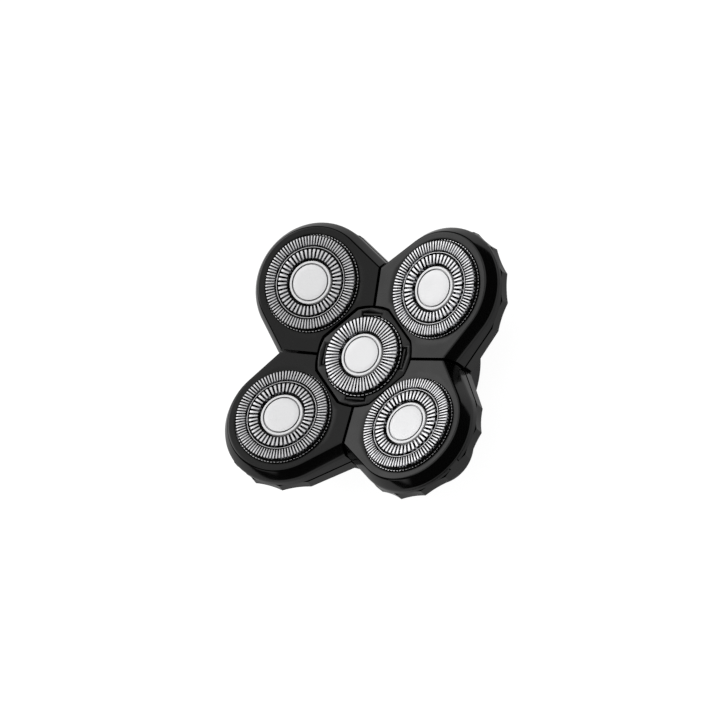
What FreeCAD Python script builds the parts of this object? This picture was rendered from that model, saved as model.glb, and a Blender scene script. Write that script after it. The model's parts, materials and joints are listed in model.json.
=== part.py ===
"""Rotary shaver head with four leaning cutter pods around a sliding centre pod.

Millimetres.  The head stands on the rim of its neck, +Z towards the cutters, and the
origin is the middle of that rim.  The outer pods lie on the diagonals of the X and Y
axes.  A pod is drawn once, in the "upright" frame: X points outwards from the head's
axis to the pod, and Z = 0 is the plane through the middles of the four cap discs.  What
leans with a pod is drawn about its own cap disc, with Z along the cutter's spin axis.
"""
import FreeCAD
import Part
import math
import os

import Sketcher

Vector = FreeCAD.Vector
Rotation = FreeCAD.Rotation
Placement = FreeCAD.Placement

document = FreeCAD.newDocument("shaver_head")

# Driving dimensions: alias, value, meaning. Millimetres and degrees.
DIMENSIONS = [
    ("cutter_spacing", 34.0, "between the middles of neighbouring outer caps"),
    ("disc_plane_height", 25.2, "from the neck's rim to the plane of the outer cap discs"),
    ("centre_drop", 2.2, "centre cap disc below the outer ones"),
    ("pod_lean", 9.52, "how far an outer pod leans in towards the axis"),
    ("pod_travel_angle", 5.0, "how far an outer pod tilts outwards when pressed"),
    ("centre_travel", 1.2, "how far the centre pod sinks when pressed"),
    ("face_drop", 1.0, "flat face of a pod below its cap disc"),
    ("nose_radius", 15.95, "outer wall of a pod round its cap"),
    ("band", 1.7, "width and depth of the bevel round a pod's face"),
    ("band_softening", 0.6, "rounding of the bevel's two edges"),
    ("flank_flare", 8.5, "how far each flank spreads towards the head's axis"),
    ("pod_gap", 0.5, "between the upper shells of neighbouring pods"),
    ("bowl_gap", 1.0, "between the lower shells of neighbouring pods"),
    ("centre_gap", 0.45, "between the centre pod and the pods round it"),
    ("cover_plate", 1.4, "thickness of a pod's face"),
    ("shell_wall", 1.2, "thickness of a pod's side walls"),
    ("floor_wall", 1.1, "thickness of a bowl's floor"),
    ("parting_depth", 4.5, "parting line below the face at the nose"),
    ("parting_slope", 6.0, "parting line against the face"),
    ("bowl_depth", 6.75, "underside below the face at the nose"),
    ("underside_slope", 8.0, "underside against the face"),
    ("underside_limit", 12.9, "lowest a bowl reaches below the disc plane"),
    ("bowl_step", 0.2, "bowl's ridges outside the cover's wall"),
    ("flute_angle", 25.3, "from one finger flute to the next"),
    ("flute_depth", 0.7, "depth of a finger flute below the ridges"),
    ("seam_groove", 0.35, "width and depth of the groove at the parting line"),
    ("latch_width", 3.2, "window of the snap latch in the cover's nose"),
    ("latch_rise", 1.5, "height of that window above the parting line"),
    ("latch_play", 0.3, "round the latch's tongue in its window"),
    ("cap_radius", 12.0, "outer wall of an outer cap"),
    ("cap_hole_gap", 0.3, "between a cap and the hole in its cover"),
    ("cap_depth", 3.6, "cap's open rim below its disc's face"),
    ("cap_wall", 0.35, "thickness of a cap's side wall"),
    ("track_rise", 0.3, "slotted track above the disc's face"),
    ("track_plate", 0.25, "thickness of a slotted track"),
    ("well_radius", 6.2, "well round the cap disc"),
    ("well_depth", 0.55, "bottom of that well below the disc's face"),
    ("well_plate", 0.3, "thickness of the well's bottom and walls"),
    ("shoulder", 0.5, "bevel between a cap's outer track and its wall"),
    ("inner_track_outside", 8.1, "outer edge of an outer cap's inner track"),
    ("land_inside", 8.5, "inner edge of the thin ring between the tracks"),
    ("land_outside", 9.1, "outer edge of that ring"),
    ("land_rise", 0.1, "that ring above the disc's face"),
    ("outer_track_inside", 9.6, "inner edge of an outer cap's outer track"),
    ("groove_depth", 0.35, "grooves between the tracks below the disc's face"),
    ("groove_wall", 0.25, "thickness of those grooves' side walls"),
    ("outer_slots", 90, "slots in an outer cap's outer track"),
    ("inner_slots", 45, "slots in an outer cap's inner track"),
    ("centre_slots", 60, "slots in the centre cap"),
    ("outer_slot_width", 0.33, "slot in the outer track"),
    ("inner_slot_width", 0.42, "slot in the inner track"),
    ("centre_slot_width", 0.36, "slot in the centre cap"),
    ("inner_slot_start", 6.35, "inner end of the slots in the inner track"),
    ("slot_lead", 0.15, "a slot's cutter starts this far outside the metal"),
    ("slot_drop", 0.75, "how far the slots run down a cap's wall, below its disc's face"),
    ("cap_lug_width", 4.4, "locating lug at an outer cap's rim"),
    ("cap_lug_reach", 1.1, "outer cap's lug outside its wall"),
    ("centre_lug_width", 2.6, "the centre cap's lugs"),
    ("centre_lug_reach", 0.7, "centre cap's lug outside its wall"),
    ("lug_play", 0.05, "round the centre cap's lugs"),
    ("cap_lug_plate", 0.8, "thickness of a lug"),
    ("centre_cap_radius", 10.0, "outer wall of the centre cap"),
    ("disc_radius", 5.36, "cap disc"),
    ("disc_rim", 0.15, "bevel of the cap disc's edge"),
    ("disc_ring_inside", 4.2, "ring groove turned in the cap disc, inner edge"),
    ("disc_ring_outside", 4.5, "ring groove turned in the cap disc, outer edge"),
    ("disc_ring_depth", 0.08, "depth of that ring groove"),
    ("stem_radius", 1.2, "cap disc's stem"),
    ("stem_play", 0.05, "stem in its hole"),
    ("stem_length", 0.45, "stem below the disc"),
    ("blade_gap", 0.1, "blade's edge below the slotted track"),
    ("blade_side_gap", 0.15, "blade beside the walls of its track"),
    ("blade_thickness", 0.45, "cutter blade"),
    ("blade_rake", 25.0, "blade's lean against the spin axis"),
    ("blade_height", 1.55, "from the blade ring to the blades' edges"),
    ("blade_ring_plate", 0.4, "thickness of the steel ring that carries the blades"),
    ("blades", 15, "blades in each row"),
    ("carrier_radius", 8.0, "plastic carrier under the blade ring"),
    ("carrier_boss", 2.95, "carrier's boss through the blade ring"),
    ("carrier_hub", 2.7, "carrier's hub"),
    ("carrier_gap", 0.3, "carrier's flange above the retainer"),
    ("hub_gap", 0.3, "carrier's hub in the retainer's hole"),
    ("socket_depth", 7.0, "middle of the drive socket below the cap disc"),
    ("socket_reach", 1.6, "drive socket's mouth below its middle"),
    ("tip_flat", 1.15, "spindle's square tip, middle to flat"),
    ("tip_radius", 1.5, "ball that rounds the tip's crown and corners"),
    ("tip_play", 0.03, "tip's crown below the end of its socket"),
    ("socket_play", 0.22, "tip in its socket, which lets the pod lean"),
    ("retainer_plate", 1.0, "thickness of the cutter retainer"),
    ("retainer_ring", 1.4, "width of the retainer's ring"),
    ("retainer_hub_wall", 1.3, "width of the retainer's inner ring"),
    ("spoke_width", 1.6, "retainer's spokes and ears"),
    ("ear_reach", 1.9, "retainer's ears outside its ring"),
    ("post_radius", 1.0, "bowl's posts under the retainer's ears"),
    ("neck_radius", 0.75, "spindle's neck under its tip"),
    ("collar_radius", 3.1, "spindle's collar, which takes the spring"),
    ("collar_plate", 0.5, "thickness of that collar"),
    ("collar_drop", 2.5, "collar's top below the middle of the tip"),
    ("shank_flat", 1.25, "spindle's square shank, middle to flat"),
    ("shank_play", 0.05, "shank in its gear"),
    ("shank_length", 6.3, "shank below the collar"),
    ("spring_radius", 2.4, "spindle spring, middle of its wire"),
    ("spring_wire", 0.4, "diameter of the spring's wire"),
    ("spring_turns", 3.0, "turns of the spring"),
    ("spring_length", 2.7, "spring between the collar and the gear's hub"),
    ("sun_teeth", 47, "teeth of the middle gear"),
    ("planet_teeth", 16, "teeth of each gear round it"),
    ("gear_width", 2.4, "width of the gears"),
    ("tooth_backlash", 0.12, "taken off each tooth's thickness"),
    ("gear_hub", 3.2, "gear's hub in the gear cover"),
    ("gear_foot", 2.4, "gear's foot in the gearbox floor"),
    ("gear_foot_length", 1.0, "that foot below the gear"),
    ("journal_play", 0.05, "round each journal"),
    ("gear_play", 0.4, "above and below the gears"),
    ("gear_wall_gap", 0.35, "from the teeth to the gearbox wall"),
    ("gearbox_wall", 1.15, "gearbox side wall"),
    ("gearbox_middle", 24.2, "outside of the gearbox between its lobes, from the axis"),
    ("gear_cover_depth", 13.4, "top of the gear cover below the disc plane"),
    ("gear_cover_plate", 1.2, "thickness of the gear cover"),
    ("gearbox_floor", 1.4, "thickness of the gearbox floor"),
    ("gearbox_bevel", 1.0, "bevel round the gearbox's underside"),
    ("sun_journal", 6.0, "middle gear's journal in the gearbox floor"),
    ("drive_flat", 3.0, "hexagon drive socket, middle to flat"),
    ("drive_depth", 3.4, "depth of the drive socket"),
    ("drive_recess", 1.5, "mouth of the drive socket above the neck's rim"),
    ("neck_outside", 15.0, "neck, outer radius"),
    ("neck_wall", 2.5, "neck's wall"),
    ("key_width", 3.0, "keyway along the neck"),
    ("key_depth", 1.0, "depth of that keyway"),
    ("seal_width", 1.4, "neck seal across"),
    ("seal_plate", 1.0, "neck seal's thickness"),
    ("seal_play", 0.05, "seal round the neck"),
    ("seal_sink", 0.5, "the seal's seat below the neck's outside"),
    ("seal_room", 0.2, "between the seal and the step of its seat"),
    ("screw_circle", 21.9, "gear cover screws from the axis"),
    ("screw_angle", 22.5, "gear cover screws from the outer gears, about the axis"),
    ("screw_boss", 1.7, "screw bosses"),
    ("screw_shank", 0.8, "screw's shank"),
    ("screw_head", 1.4, "screw's head"),
    ("screw_head_plate", 0.8, "height of the head"),
    ("screw_length", 3.9, "shank under the head"),
    ("screw_sink", 0.5, "counterbore for the head"),
    ("screw_bevel", 0.2, "bevel of the head"),
    ("screw_recess", 0.6, "recess in the head, middle to flat"),
    ("screw_play", 0.05, "round the screw"),
    ("hinge_radius", 12.3, "hinge pins from the head's axis"),
    ("hinge_depth", 8.6, "hinge pins below the disc plane"),
    ("hinge_pin", 0.6, "hinge pin"),
    ("hinge_play", 0.05, "pin in its eyes"),
    ("hinge_eye", 1.2, "outside of the eyes"),
    ("knuckle_half", 3.0, "half the length of the bowl's eye"),
    ("hinge_side_play", 0.15, "between the bowl's eye and the ears"),
    ("ear_width", 2.0, "ears of the gear cover"),
    ("bay_reach", 14.0, "hinge bay in the bowl, from the head's axis"),
    ("bay_wall", 0.9, "wall behind the hinge bay"),
    ("bay_cheek", 0.75, "cheeks beside the hinge bay"),
    ("bay_top", 7.15, "roof of the hinge bay below the disc plane"),
    ("bay_roof", 0.45, "thickness of that roof"),
    ("bay_play", 0.3, "between the hinge ears and the bay's cheeks"),
    ("shell_play", 0.1, "between the cover and the bowl's hinge bay"),
    ("spindle_hole", 4.2, "hole in a bowl's floor for the spindle"),
    ("centre_radius", 12.55, "centre pod's round sides"),
    ("centre_flat", 11.35, "centre pod's flat sides from the axis"),
    ("centre_face_drop", 1.2, "centre pod's face below its cap disc"),
    ("centre_plate", 1.2, "thickness of that face"),
    ("centre_flange", 2.0, "depth of the centre pod's flange"),
    ("centre_hole_gap", 0.45, "round the centre cap in its pod"),
    ("centre_bevel", 0.25, "bevel round the centre pod's face"),
    ("bayonet_width", 5.0, "notches in the centre pod's hole"),
    ("bayonet_depth", 0.5, "depth of those notches"),
    ("centre_waist", 10.9, "centre pod below its flange"),
    ("centre_bowl_outside", 10.6, "centre bowl"),
    ("centre_bowl_inside", 9.5, "centre bowl"),
    ("centre_bowl_floor_top", 10.2, "its floor below the disc plane of the outer pods"),
    ("centre_bowl_floor", 1.0, "thickness of its floor"),
    ("guide_radius", 4.8, "gear cover's guide for the centre pod"),
    ("guide_wall", 1.2, "wall of that guide"),
    ("guide_top", 9.0, "top of the guide below the disc plane"),
    ("guide_play", 0.05, "centre bowl on its guide"),
    ("sleeve_wall", 0.95, "centre bowl's sleeve on the guide"),
    ("sleeve_top", 8.8, "top of that sleeve below the disc plane"),
    ("sleeve_foot", 12.0, "foot of that sleeve below the disc plane"),
]


class Size:
    """A length or angle with its value and the sheet formula that gives it."""

    def __init__(self, value, formula):
        self.value = float(value)
        self.formula = formula

    @staticmethod
    def of(other):
        return other if isinstance(other, Size) else Size(other, repr(float(other)))

    def __add__(self, other):
        other = Size.of(other)
        return Size(self.value + other.value, f"({self.formula} + {other.formula})")

    def __sub__(self, other):
        other = Size.of(other)
        return Size(self.value - other.value, f"({self.formula} - {other.formula})")

    def __mul__(self, other):
        other = Size.of(other)
        return Size(self.value * other.value, f"({self.formula} * {other.formula})")

    def __truediv__(self, other):
        other = Size.of(other)
        return Size(self.value / other.value, f"({self.formula} / {other.formula})")

    def __neg__(self):
        return Size(-self.value, f"(-1 * {self.formula})")

    __radd__ = __add__
    __rmul__ = __mul__

    def __rsub__(self, other):
        return Size.of(other) - self

    def __rtruediv__(self, other):
        return Size.of(other) / self


def root(size):
    """Square root of a Size."""
    return Size(math.sqrt(size.value), f"sqrt({size.formula})")


def sine(angle):
    """Sine of a Size in degrees."""
    return Size(math.sin(math.radians(angle.value)), f"sin({angle.formula} * 1 deg)")


def cosine(angle):
    """Cosine of a Size in degrees."""
    return Size(math.cos(math.radians(angle.value)), f"cos({angle.formula} * 1 deg)")


def tangent(angle):
    """Tangent of a Size in degrees."""
    return Size(math.tan(math.radians(angle.value)), f"tan({angle.formula} * 1 deg)")


class Dimensions:
    """The sheet of driving dimensions; each alias is read as an attribute."""

    def __init__(self, rows):
        self.sheet = document.addObject("Spreadsheet::Sheet", "Dimensions")
        for index, (alias, value, meaning) in enumerate(rows, start=1):
            self.sheet.set(f"A{index}", alias)
            self.sheet.set(f"B{index}", str(value))
            self.sheet.set(f"C{index}", meaning)
            self.sheet.setAlias(f"B{index}", alias)
            setattr(self, alias, Size(value, f"Dimensions.{alias}"))


dim = Dimensions(DIMENSIONS)
document.recompute()

# Derived places
pod_circle = dim.cutter_spacing / math.sqrt(2)
lean_sine = sine(dim.pod_lean)
lean_cosine = cosine(dim.pod_lean)
gear_distance = pod_circle + dim.socket_depth * lean_sine
gear_module = 2 * gear_distance / (dim.sun_teeth + dim.planet_teeth)
spindle_plane = -(dim.socket_depth * lean_cosine)
centre_plane = -dim.centre_drop
face = -dim.face_drop
pod_reach = dim.nose_radius
POD_AZIMUTHS = (45.0, 135.0, 225.0, 315.0)


def bind(item, **sizes):
    """Bind properties of an object to sheet formulas."""
    for name, size in sizes.items():
        item.setExpression(name, Size.of(size).formula)
    return item


def shift(item, x=0, y=0, z=0):
    """Bind an object's position to sheet formulas."""
    for axis, size in (("x", x), ("y", y), ("z", z)):
        item.setExpression(f"Placement.Base.{axis}", Size.of(size).formula)
    return item


def turn_about_y(item, angle):
    """Bind an object's turn about the Y axis."""
    item.Placement = Placement(Vector(), Rotation(Vector(0, 1, 0), 1.0))
    item.setExpression("Placement.Rotation.Angle", f"({angle.formula} * 1 deg)")
    return item


def lean_at(item, radial, along):
    """Place a leaning object at (radial, along) of the pod's own frame.

    radial runs outwards across the cap, along runs up the spin axis.
    """
    turn_about_y(item, -dim.pod_lean)
    radial, along = Size.of(radial), Size.of(along)
    return shift(item,
                 x=pod_circle + radial * lean_cosine - along * lean_sine,
                 z=radial * lean_sine + along * lean_cosine)


class Corner:
    """A corner of an outline; radius makes the edge to the next corner an arc.

    bulge is +1 where that arc runs anticlockwise and -1 where it runs clockwise.
    """

    def __init__(self, x, y, radius=None, bulge=1):
        self.x, self.y = Size.of(x), Size.of(y)
        self.radius, self.bulge = radius, bulge

    def point(self):
        return Vector(self.x.value, self.y.value, 0)


def arc_between(start, end, radius, bulge):
    """The short arc of that radius from start to end."""
    chord = end - start
    half = chord.Length / 2
    side = Vector(-chord.y, chord.x, 0).normalize() * bulge
    middle = start + chord * 0.5 + side * math.sqrt(max(radius ** 2 - half ** 2, 0.0))
    crown = middle - side * radius
    return Part.Arc(start, crown, end)


def pin_down(sketch, element, end, corner):
    """Fix one end of an edge at a corner, with both distances from the sheet."""
    for kind, size, axis in (("DistanceX", corner.x, -2), ("DistanceY", corner.y, -1)):
        if abs(size.value) < 1e-9:
            sketch.addConstraint(Sketcher.Constraint("PointOnObject", element, end, axis))
            continue
        index = sketch.addConstraint(Sketcher.Constraint(kind, -1, 1, element, end, size.value))
        sketch.setExpression(f"Constraints[{index}]", size.formula)


def draw(sketch, outline):
    """Draw one closed outline whose corners and radii are bound to the sheet."""
    first = sketch.GeometryCount
    for corner, following in zip(outline, outline[1:] + outline[:1]):
        start, end = corner.point(), following.point()
        if corner.radius is None:
            sketch.addGeometry(Part.LineSegment(start, end), False)
        else:
            sketch.addGeometry(arc_between(start, end, corner.radius.value, corner.bulge), False)
    count = len(outline)
    for index, corner in enumerate(outline):
        clockwise_arc = corner.radius is not None and corner.bulge < 0
        start_end = 2 if clockwise_arc else 1
        before = outline[index - 1]
        before_end = 1 if before.radius is not None and before.bulge < 0 else 2
        element, previous = first + index, first + (index - 1) % count
        sketch.addConstraint(Sketcher.Constraint("Coincident", previous, before_end,
                                                 element, start_end))
        pin_down(sketch, element, start_end, corner)
    for index, corner in enumerate(outline):
        if corner.radius is not None:
            number = sketch.addConstraint(Sketcher.Constraint("Radius", first + index,
                                                              corner.radius.value))
            sketch.setExpression(f"Constraints[{number}]", corner.radius.formula)
    return sketch


def draw_circle(sketch, radius, x=0, y=0):
    """Draw a circle whose middle and radius are bound to the sheet."""
    radius, middle = Size.of(radius), Corner(x, y)
    element = sketch.addGeometry(Part.Circle(middle.point(), Vector(0, 0, 1), radius.value), False)
    pin_down(sketch, element, 3, middle)
    number = sketch.addConstraint(Sketcher.Constraint("Radius", element, radius.value))
    sketch.setExpression(f"Constraints[{number}]", radius.formula)
    return sketch


def rectangle(left, bottom, right, top):
    """Outline of a rectangle."""
    return [Corner(left, bottom), Corner(right, bottom), Corner(right, top), Corner(left, top)]


def polygon(sides, flat, turn=0.0):
    """Outline of a regular polygon with flats at a distance from its middle."""
    reach = flat / math.cos(math.pi / sides)
    angles = [math.radians(turn + 360.0 * k / sides) for k in range(sides)]
    return [Corner(reach * math.cos(angle), reach * math.sin(angle)) for angle in angles]


def origin_feature(body, role):
    return next(item for item in body.Origin.OriginFeatures if item.Role == role)


def new_body(name):
    return document.addObject("PartDesign::Body", name)


def body_sketch(body, name, role="XY_Plane", height=None):
    """A sketch on one of the body's origin planes, lifted by height."""
    sketch = body.newObject("Sketcher::SketchObject", name)
    sketch.AttachmentSupport = [(origin_feature(body, role), "")]
    sketch.MapMode = "FlatFace"
    if height is not None:
        sketch.setExpression("AttachmentOffset.Base.z", height.formula)
    return sketch


def revolve(body, name, outline):
    """Turn a section, drawn as radius and height, about the body's Z axis."""
    sketch = draw(body_sketch(body, name + "_section", "XZ_Plane"), outline)
    feature = body.newObject("PartDesign::Revolution", name)
    feature.Profile = (sketch, [""])
    feature.ReferenceAxis = (sketch, ["V_Axis"])
    feature.Angle = 360
    sketch.Visibility = False
    return feature


def pad(body, name, sketch, length, down=False):
    """Raise a sketch by a length, or lower it."""
    feature = body.newObject("PartDesign::Pad", name)
    feature.Profile = (sketch, [""])
    bind(feature, Length=length)
    feature.Reversed = down
    return feature


def pocket(body, name, sketch, length, up=False, midplane=False):
    """Cut a sketch downwards by a length, or upwards, or to both sides."""
    feature = body.newObject("PartDesign::Pocket", name)
    feature.Profile = (sketch, [""])
    feature.Type = 0
    bind(feature, Length=length)
    feature.Reversed = up
    feature.Midplane = midplane
    return feature


def around(body, name, features, count, axis="Z_Axis"):
    """Repeat features around an axis of the body."""
    pattern = body.newObject("PartDesign::PolarPattern", name)
    pattern.Originals = features
    pattern.Axis = (origin_feature(body, axis), [""])
    pattern.Angle = 360
    bind(pattern, Occurrences=Size.of(count))
    body.Tip = pattern
    return pattern


# Standalone sketches and solids, for the shells that are drawn with booleans

def flat_sketch(name, outline):
    """A sketch in the XY plane."""
    return draw(document.addObject("Sketcher::SketchObject", name), outline)


def side_sketch(name, outline):
    """A sketch in the XZ plane: its X is X and its Y is Z."""
    sketch = document.addObject("Sketcher::SketchObject", name)
    sketch.Placement = Placement(Vector(), Rotation(Vector(1, 0, 0), 90))
    return draw(sketch, outline)


def extrude(name, sketch, length, down=False, both_ways=False):
    """Extrude a sketch along its normal."""
    solid = document.addObject("Part::Extrusion", name)
    solid.Base = sketch
    solid.DirMode = "Normal"
    solid.Solid = True
    solid.Reversed = down
    solid.Symmetric = both_ways
    bind(solid, LengthFwd=Size.of(length))
    sketch.Visibility = False
    return solid


def cylinder(name, radius, height):
    solid = document.addObject("Part::Cylinder", name)
    return bind(solid, Radius=Size.of(radius), Height=Size.of(height))


def box(name, low, high):
    """A box between two corners."""
    solid = document.addObject("Part::Box", name)
    low = [Size.of(size) for size in low]
    high = [Size.of(size) for size in high]
    bind(solid, Length=high[0] - low[0], Width=high[1] - low[1], Height=high[2] - low[2])
    return shift(solid, *low)


def combine(kind, name, parts):
    """Fuse or intersect several solids."""
    solid = document.addObject(kind, name)
    solid.Shapes = parts
    solid.Refine = True
    return solid


def fuse(name, *parts):
    return combine("Part::MultiFuse", name, list(parts))


def common(name, *parts):
    return combine("Part::MultiCommon", name, list(parts))


def cut(name, base, *tools):
    """Take tools away from a solid."""
    solid = document.addObject("Part::Cut", name)
    solid.Base = base
    solid.Tool = tools[0] if len(tools) == 1 else fuse(name + "_tools", *tools)
    solid.Refine = True
    return solid


nodes = []


def linked(piece, name, placement):
    """A named copy of a piece at a placement."""
    copy = document.addObject("App::Link", name)
    copy.LinkedObject = piece
    copy.Placement = placement
    copy.Label = name
    return copy


def place_once(piece, name, placement):
    """Put a finished piece at its place and name it."""
    piece.Placement = placement
    piece.Label = name
    nodes.append(piece)


def place_copies(piece, name, placements):
    """Put one numbered copy of a piece at each placement."""
    for number, placement in enumerate(placements, start=1):
        nodes.append(linked(piece, f"{name}_{number}", placement))


disc_plane = Placement(Vector(0, 0, dim.disc_plane_height.value), Rotation())
lean = Placement(Vector(pod_circle.value, 0, 0), Rotation(Vector(0, 1, 0), -dim.pod_lean.value))
upright_places = [Placement(Vector(), Rotation(Vector(0, 0, 1), azimuth)).multiply(disc_plane)
                  for azimuth in POD_AZIMUTHS]
leaning_places = [place.multiply(lean) for place in upright_places]


# Shells of an outer pod, drawn in the upright frame

def pod_outline(inset):
    """A pod's outline seen along its spin axis, without the gaps to its neighbours.

    The nose is an arc about the cap's middle. The flanks run tangent to it and spread
    towards the head's axis.
    """
    radius = pod_reach - inset
    back = -dim.nose_radius * 1.2
    touch_x = radius * sine(dim.flank_flare)
    touch_y = radius * cosine(dim.flank_flare)
    back_y = touch_y + (touch_x - back) * tangent(dim.flank_flare)
    return [Corner(back, -back_y), Corner(touch_x, -touch_y, radius), Corner(radius, 0, radius),
            Corner(touch_x, touch_y), Corner(back, back_y)]


def fluted_outline():
    """The bowl's outline: finger flutes round the nose, then the cover's flanks."""
    ridge = pod_reach + dim.bowl_step
    valley = ridge - dim.flute_depth
    half = dim.flute_angle / 2
    drop = ridge * cosine(half) - valley
    flute_radius = (ridge * sine(half) * ridge * sine(half) + drop * drop) / (2 * drop)
    flutes = 6
    corners = []
    for index in range(flutes + 1):
        angle = dim.flute_angle * (index - flutes / 2)
        last = index == flutes
        corners.append(Corner(ridge * cosine(angle), ridge * sine(angle),
                              None if last else flute_radius, -1))
    back = -dim.nose_radius * 1.2
    last = corners[-1]
    back_y = last.y + (last.x - back) * tangent(dim.flank_flare)
    return [Corner(back, -back_y)] + corners + [Corner(back, back_y)]


def wedge_outline(gap, clearance):
    """A pod's share of the head seen from above: between two gaps and the centre pod."""
    side = gap / math.sqrt(2)
    ring = dim.centre_radius + clearance
    flat = dim.centre_flat + clearance
    flat_end = root(ring * ring - flat * flat)
    meet_x = (side + root(ring * ring * 2 - side * side)) / 2
    meet_y = meet_x - side
    far = dim.cutter_spacing * 1.5
    far_y = far - side
    return [Corner(flat, -flat_end, ring, -1), Corner(meet_x, -meet_y), Corner(far, -far_y),
            Corner(far, far_y), Corner(meet_x, meet_y, ring, -1), Corner(flat, flat_end)]


def sloped_region(name, line_drop, line_slope, top, limit=None):
    """What lies above a sloping line that is line_drop below the face at the nose."""
    slope = dim.pod_lean + line_slope
    nose_x = pod_circle + pod_reach * lean_cosine + (dim.face_drop + line_drop) * lean_sine
    nose_z = pod_reach * lean_sine - (dim.face_drop + line_drop) * lean_cosine
    out_x, in_x = dim.cutter_spacing * 1.5, Size.of(1.0)
    out_z = nose_z + (out_x - nose_x) * tangent(slope)
    if limit is None:
        in_z = nose_z - (nose_x - in_x) * tangent(slope)
        return side_sketch(name, [Corner(in_x, in_z), Corner(out_x, out_z),
                                  Corner(out_x, top), Corner(in_x, top)])
    bend_x = nose_x - (nose_z - limit) / tangent(slope)
    return side_sketch(name, [Corner(in_x, limit), Corner(bend_x, limit), Corner(out_x, out_z),
                              Corner(out_x, top), Corner(in_x, top)])


pod_span = dim.cutter_spacing * 2
block_depth = dim.underside_limit * 1.5
above_all = dim.nose_radius * 1.5
underside = -dim.underside_limit


def pod_block(name, outline, top):
    """A leaning prism with the pod's outline, from top downwards."""
    sketch = lean_at(flat_sketch(name + "_outline", outline), 0, top)
    return extrude(name, sketch, block_depth, down=True)


def tall_wedge(name, gap, clearance):
    """The wedge outline as a tall upright prism."""
    sketch = shift(flat_sketch(name + "_outline", wedge_outline(gap, clearance)), z=-block_depth)
    return extrude(name, sketch, block_depth + above_all)


def upright_rod(name, radius, x, bottom, top, y=0):
    """An upright cylinder between two heights."""
    return shift(cylinder(name, radius, Size.of(top) - bottom), x=x, y=y, z=bottom)


def leaning_rod(name, radius, bottom, top, radial=0):
    """A cylinder along the pod's spin axis between two heights of the pod's own frame."""
    return lean_at(cylinder(name, radius, Size.of(top) - bottom), radial, bottom)


def pin_rod(name, radius, half_length):
    """A cylinder along the hinge."""
    rod = cylinder(name, radius, 2 * half_length)
    rod.Placement = Placement(Vector(), Rotation(Vector(1, 0, 0), -90))
    return shift(rod, x=dim.hinge_radius, y=-half_length, z=-dim.hinge_depth)


cap_hole = dim.cap_radius + dim.cap_hole_gap
plate_under = face - dim.cover_plate
retainer_top = -dim.cap_depth
retainer_under = retainer_top - dim.retainer_plate
cheek_half = dim.knuckle_half + dim.hinge_side_play + dim.ear_width + dim.bay_play
bay_half = cheek_half + dim.bay_cheek
bay_back = dim.bay_reach + dim.bay_wall
bay_roof_top = -dim.bay_top + dim.bay_roof
latch_angle = dim.flute_angle / 2
EAR_ANGLES = (50.0, 125.0, 235.0, 310.0)


def parting_region(name, lift, top):
    """What lies above the parting line, lifted square to the face."""
    return extrude(name, sloped_region(name + "_side", dim.parting_depth - lift,
                                       dim.parting_slope, top), pod_span, both_ways=True)


def latch_block(name, width, reach_in, reach_out, drop, rise):
    """A block in the nose at the latch, between two depths from the parting line.

    reach_in and reach_out are measured along the radius through the latch.
    """
    low = face - dim.parting_depth - drop
    solid = bind(document.addObject("Part::Box", name),
                 Length=reach_out - reach_in, Width=width, Height=drop + rise)
    turn = Placement(Vector(), Rotation(Vector(0, 0, 1), latch_angle.value))
    local = Placement(Vector(reach_in.value, -width.value / 2, low.value), Rotation())
    solid.Placement = lean.multiply(turn).multiply(local)
    return solid


def make_cover():
    """Upper shell of an outer pod: face, bevelled rim and the upper half of the wall."""
    block = pod_block("cover_block", pod_outline(Size.of(0)), face)
    document.recompute()
    bevelled = document.addObject("Part::Chamfer", "cover_bevel")
    bevelled.Base = block
    bevelled.Edges = [(number, dim.band.value, dim.band.value)
                      for number in rim_edges(block.Shape, face)]
    document.recompute()
    softened = document.addObject("Part::Fillet", "cover_softening")
    softened.Base = bevelled
    softened.Edges = [(number, dim.band_softening.value, dim.band_softening.value)
                      for number in rim_edges(bevelled.Shape, face)
                      + rim_edges(bevelled.Shape, face - dim.band)]
    shell = common("cover_shell", softened, tall_wedge("cover_wedge", dim.pod_gap, dim.centre_gap),
                   parting_region("cover_region", Size.of(0), above_all))
    hollow = common("cover_hollow", pod_block("cover_hollow_block", pod_outline(dim.shell_wall),
                                              plate_under),
                    tall_wedge("cover_hollow_wedge", dim.pod_gap + dim.shell_wall * 2,
                               dim.centre_gap + dim.shell_wall))
    hole = leaning_rod("cover_hole", cap_hole, retainer_under - dim.shell_play, face + 1)
    bay = box("cover_bay", (0, -bay_half - dim.shell_play, -block_depth),
              (bay_back + dim.shell_play, bay_half + dim.shell_play, bay_roof_top + dim.shell_play))
    window = latch_block("cover_latch_window", dim.latch_width, pod_reach - dim.shell_wall * 2,
                         pod_reach + 1, dim.parting_depth, dim.latch_rise)
    groove = common("cover_groove",
                    cut("cover_groove_ring", pod_block("groove_outside", pod_outline(Size.of(-1)), face),
                        pod_block("groove_inside", pod_outline(dim.seam_groove), face)),
                    cut("cover_groove_band", parting_region("groove_above", Size.of(-1), above_all),
                        parting_region("groove_below", dim.seam_groove, above_all)))
    return cut("petal_cover", shell, hollow, hole, bay, window, groove)


def rim_edges(shape, height):
    """Numbers of the edges round the nose and flanks at a height of the pod's own frame."""
    own = lean.inverse()
    numbers = []
    for number, edge in enumerate(shape.Edges, start=1):
        ends = [own.multVec(vertex.Point) for vertex in edge.Vertexes]
        level = all(abs(point.z - height.value) < 1e-4 for point in ends)
        outer = any(point.x > -dim.nose_radius.value for point in ends)
        if level and outer:
            numbers.append(number)
    return numbers


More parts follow.
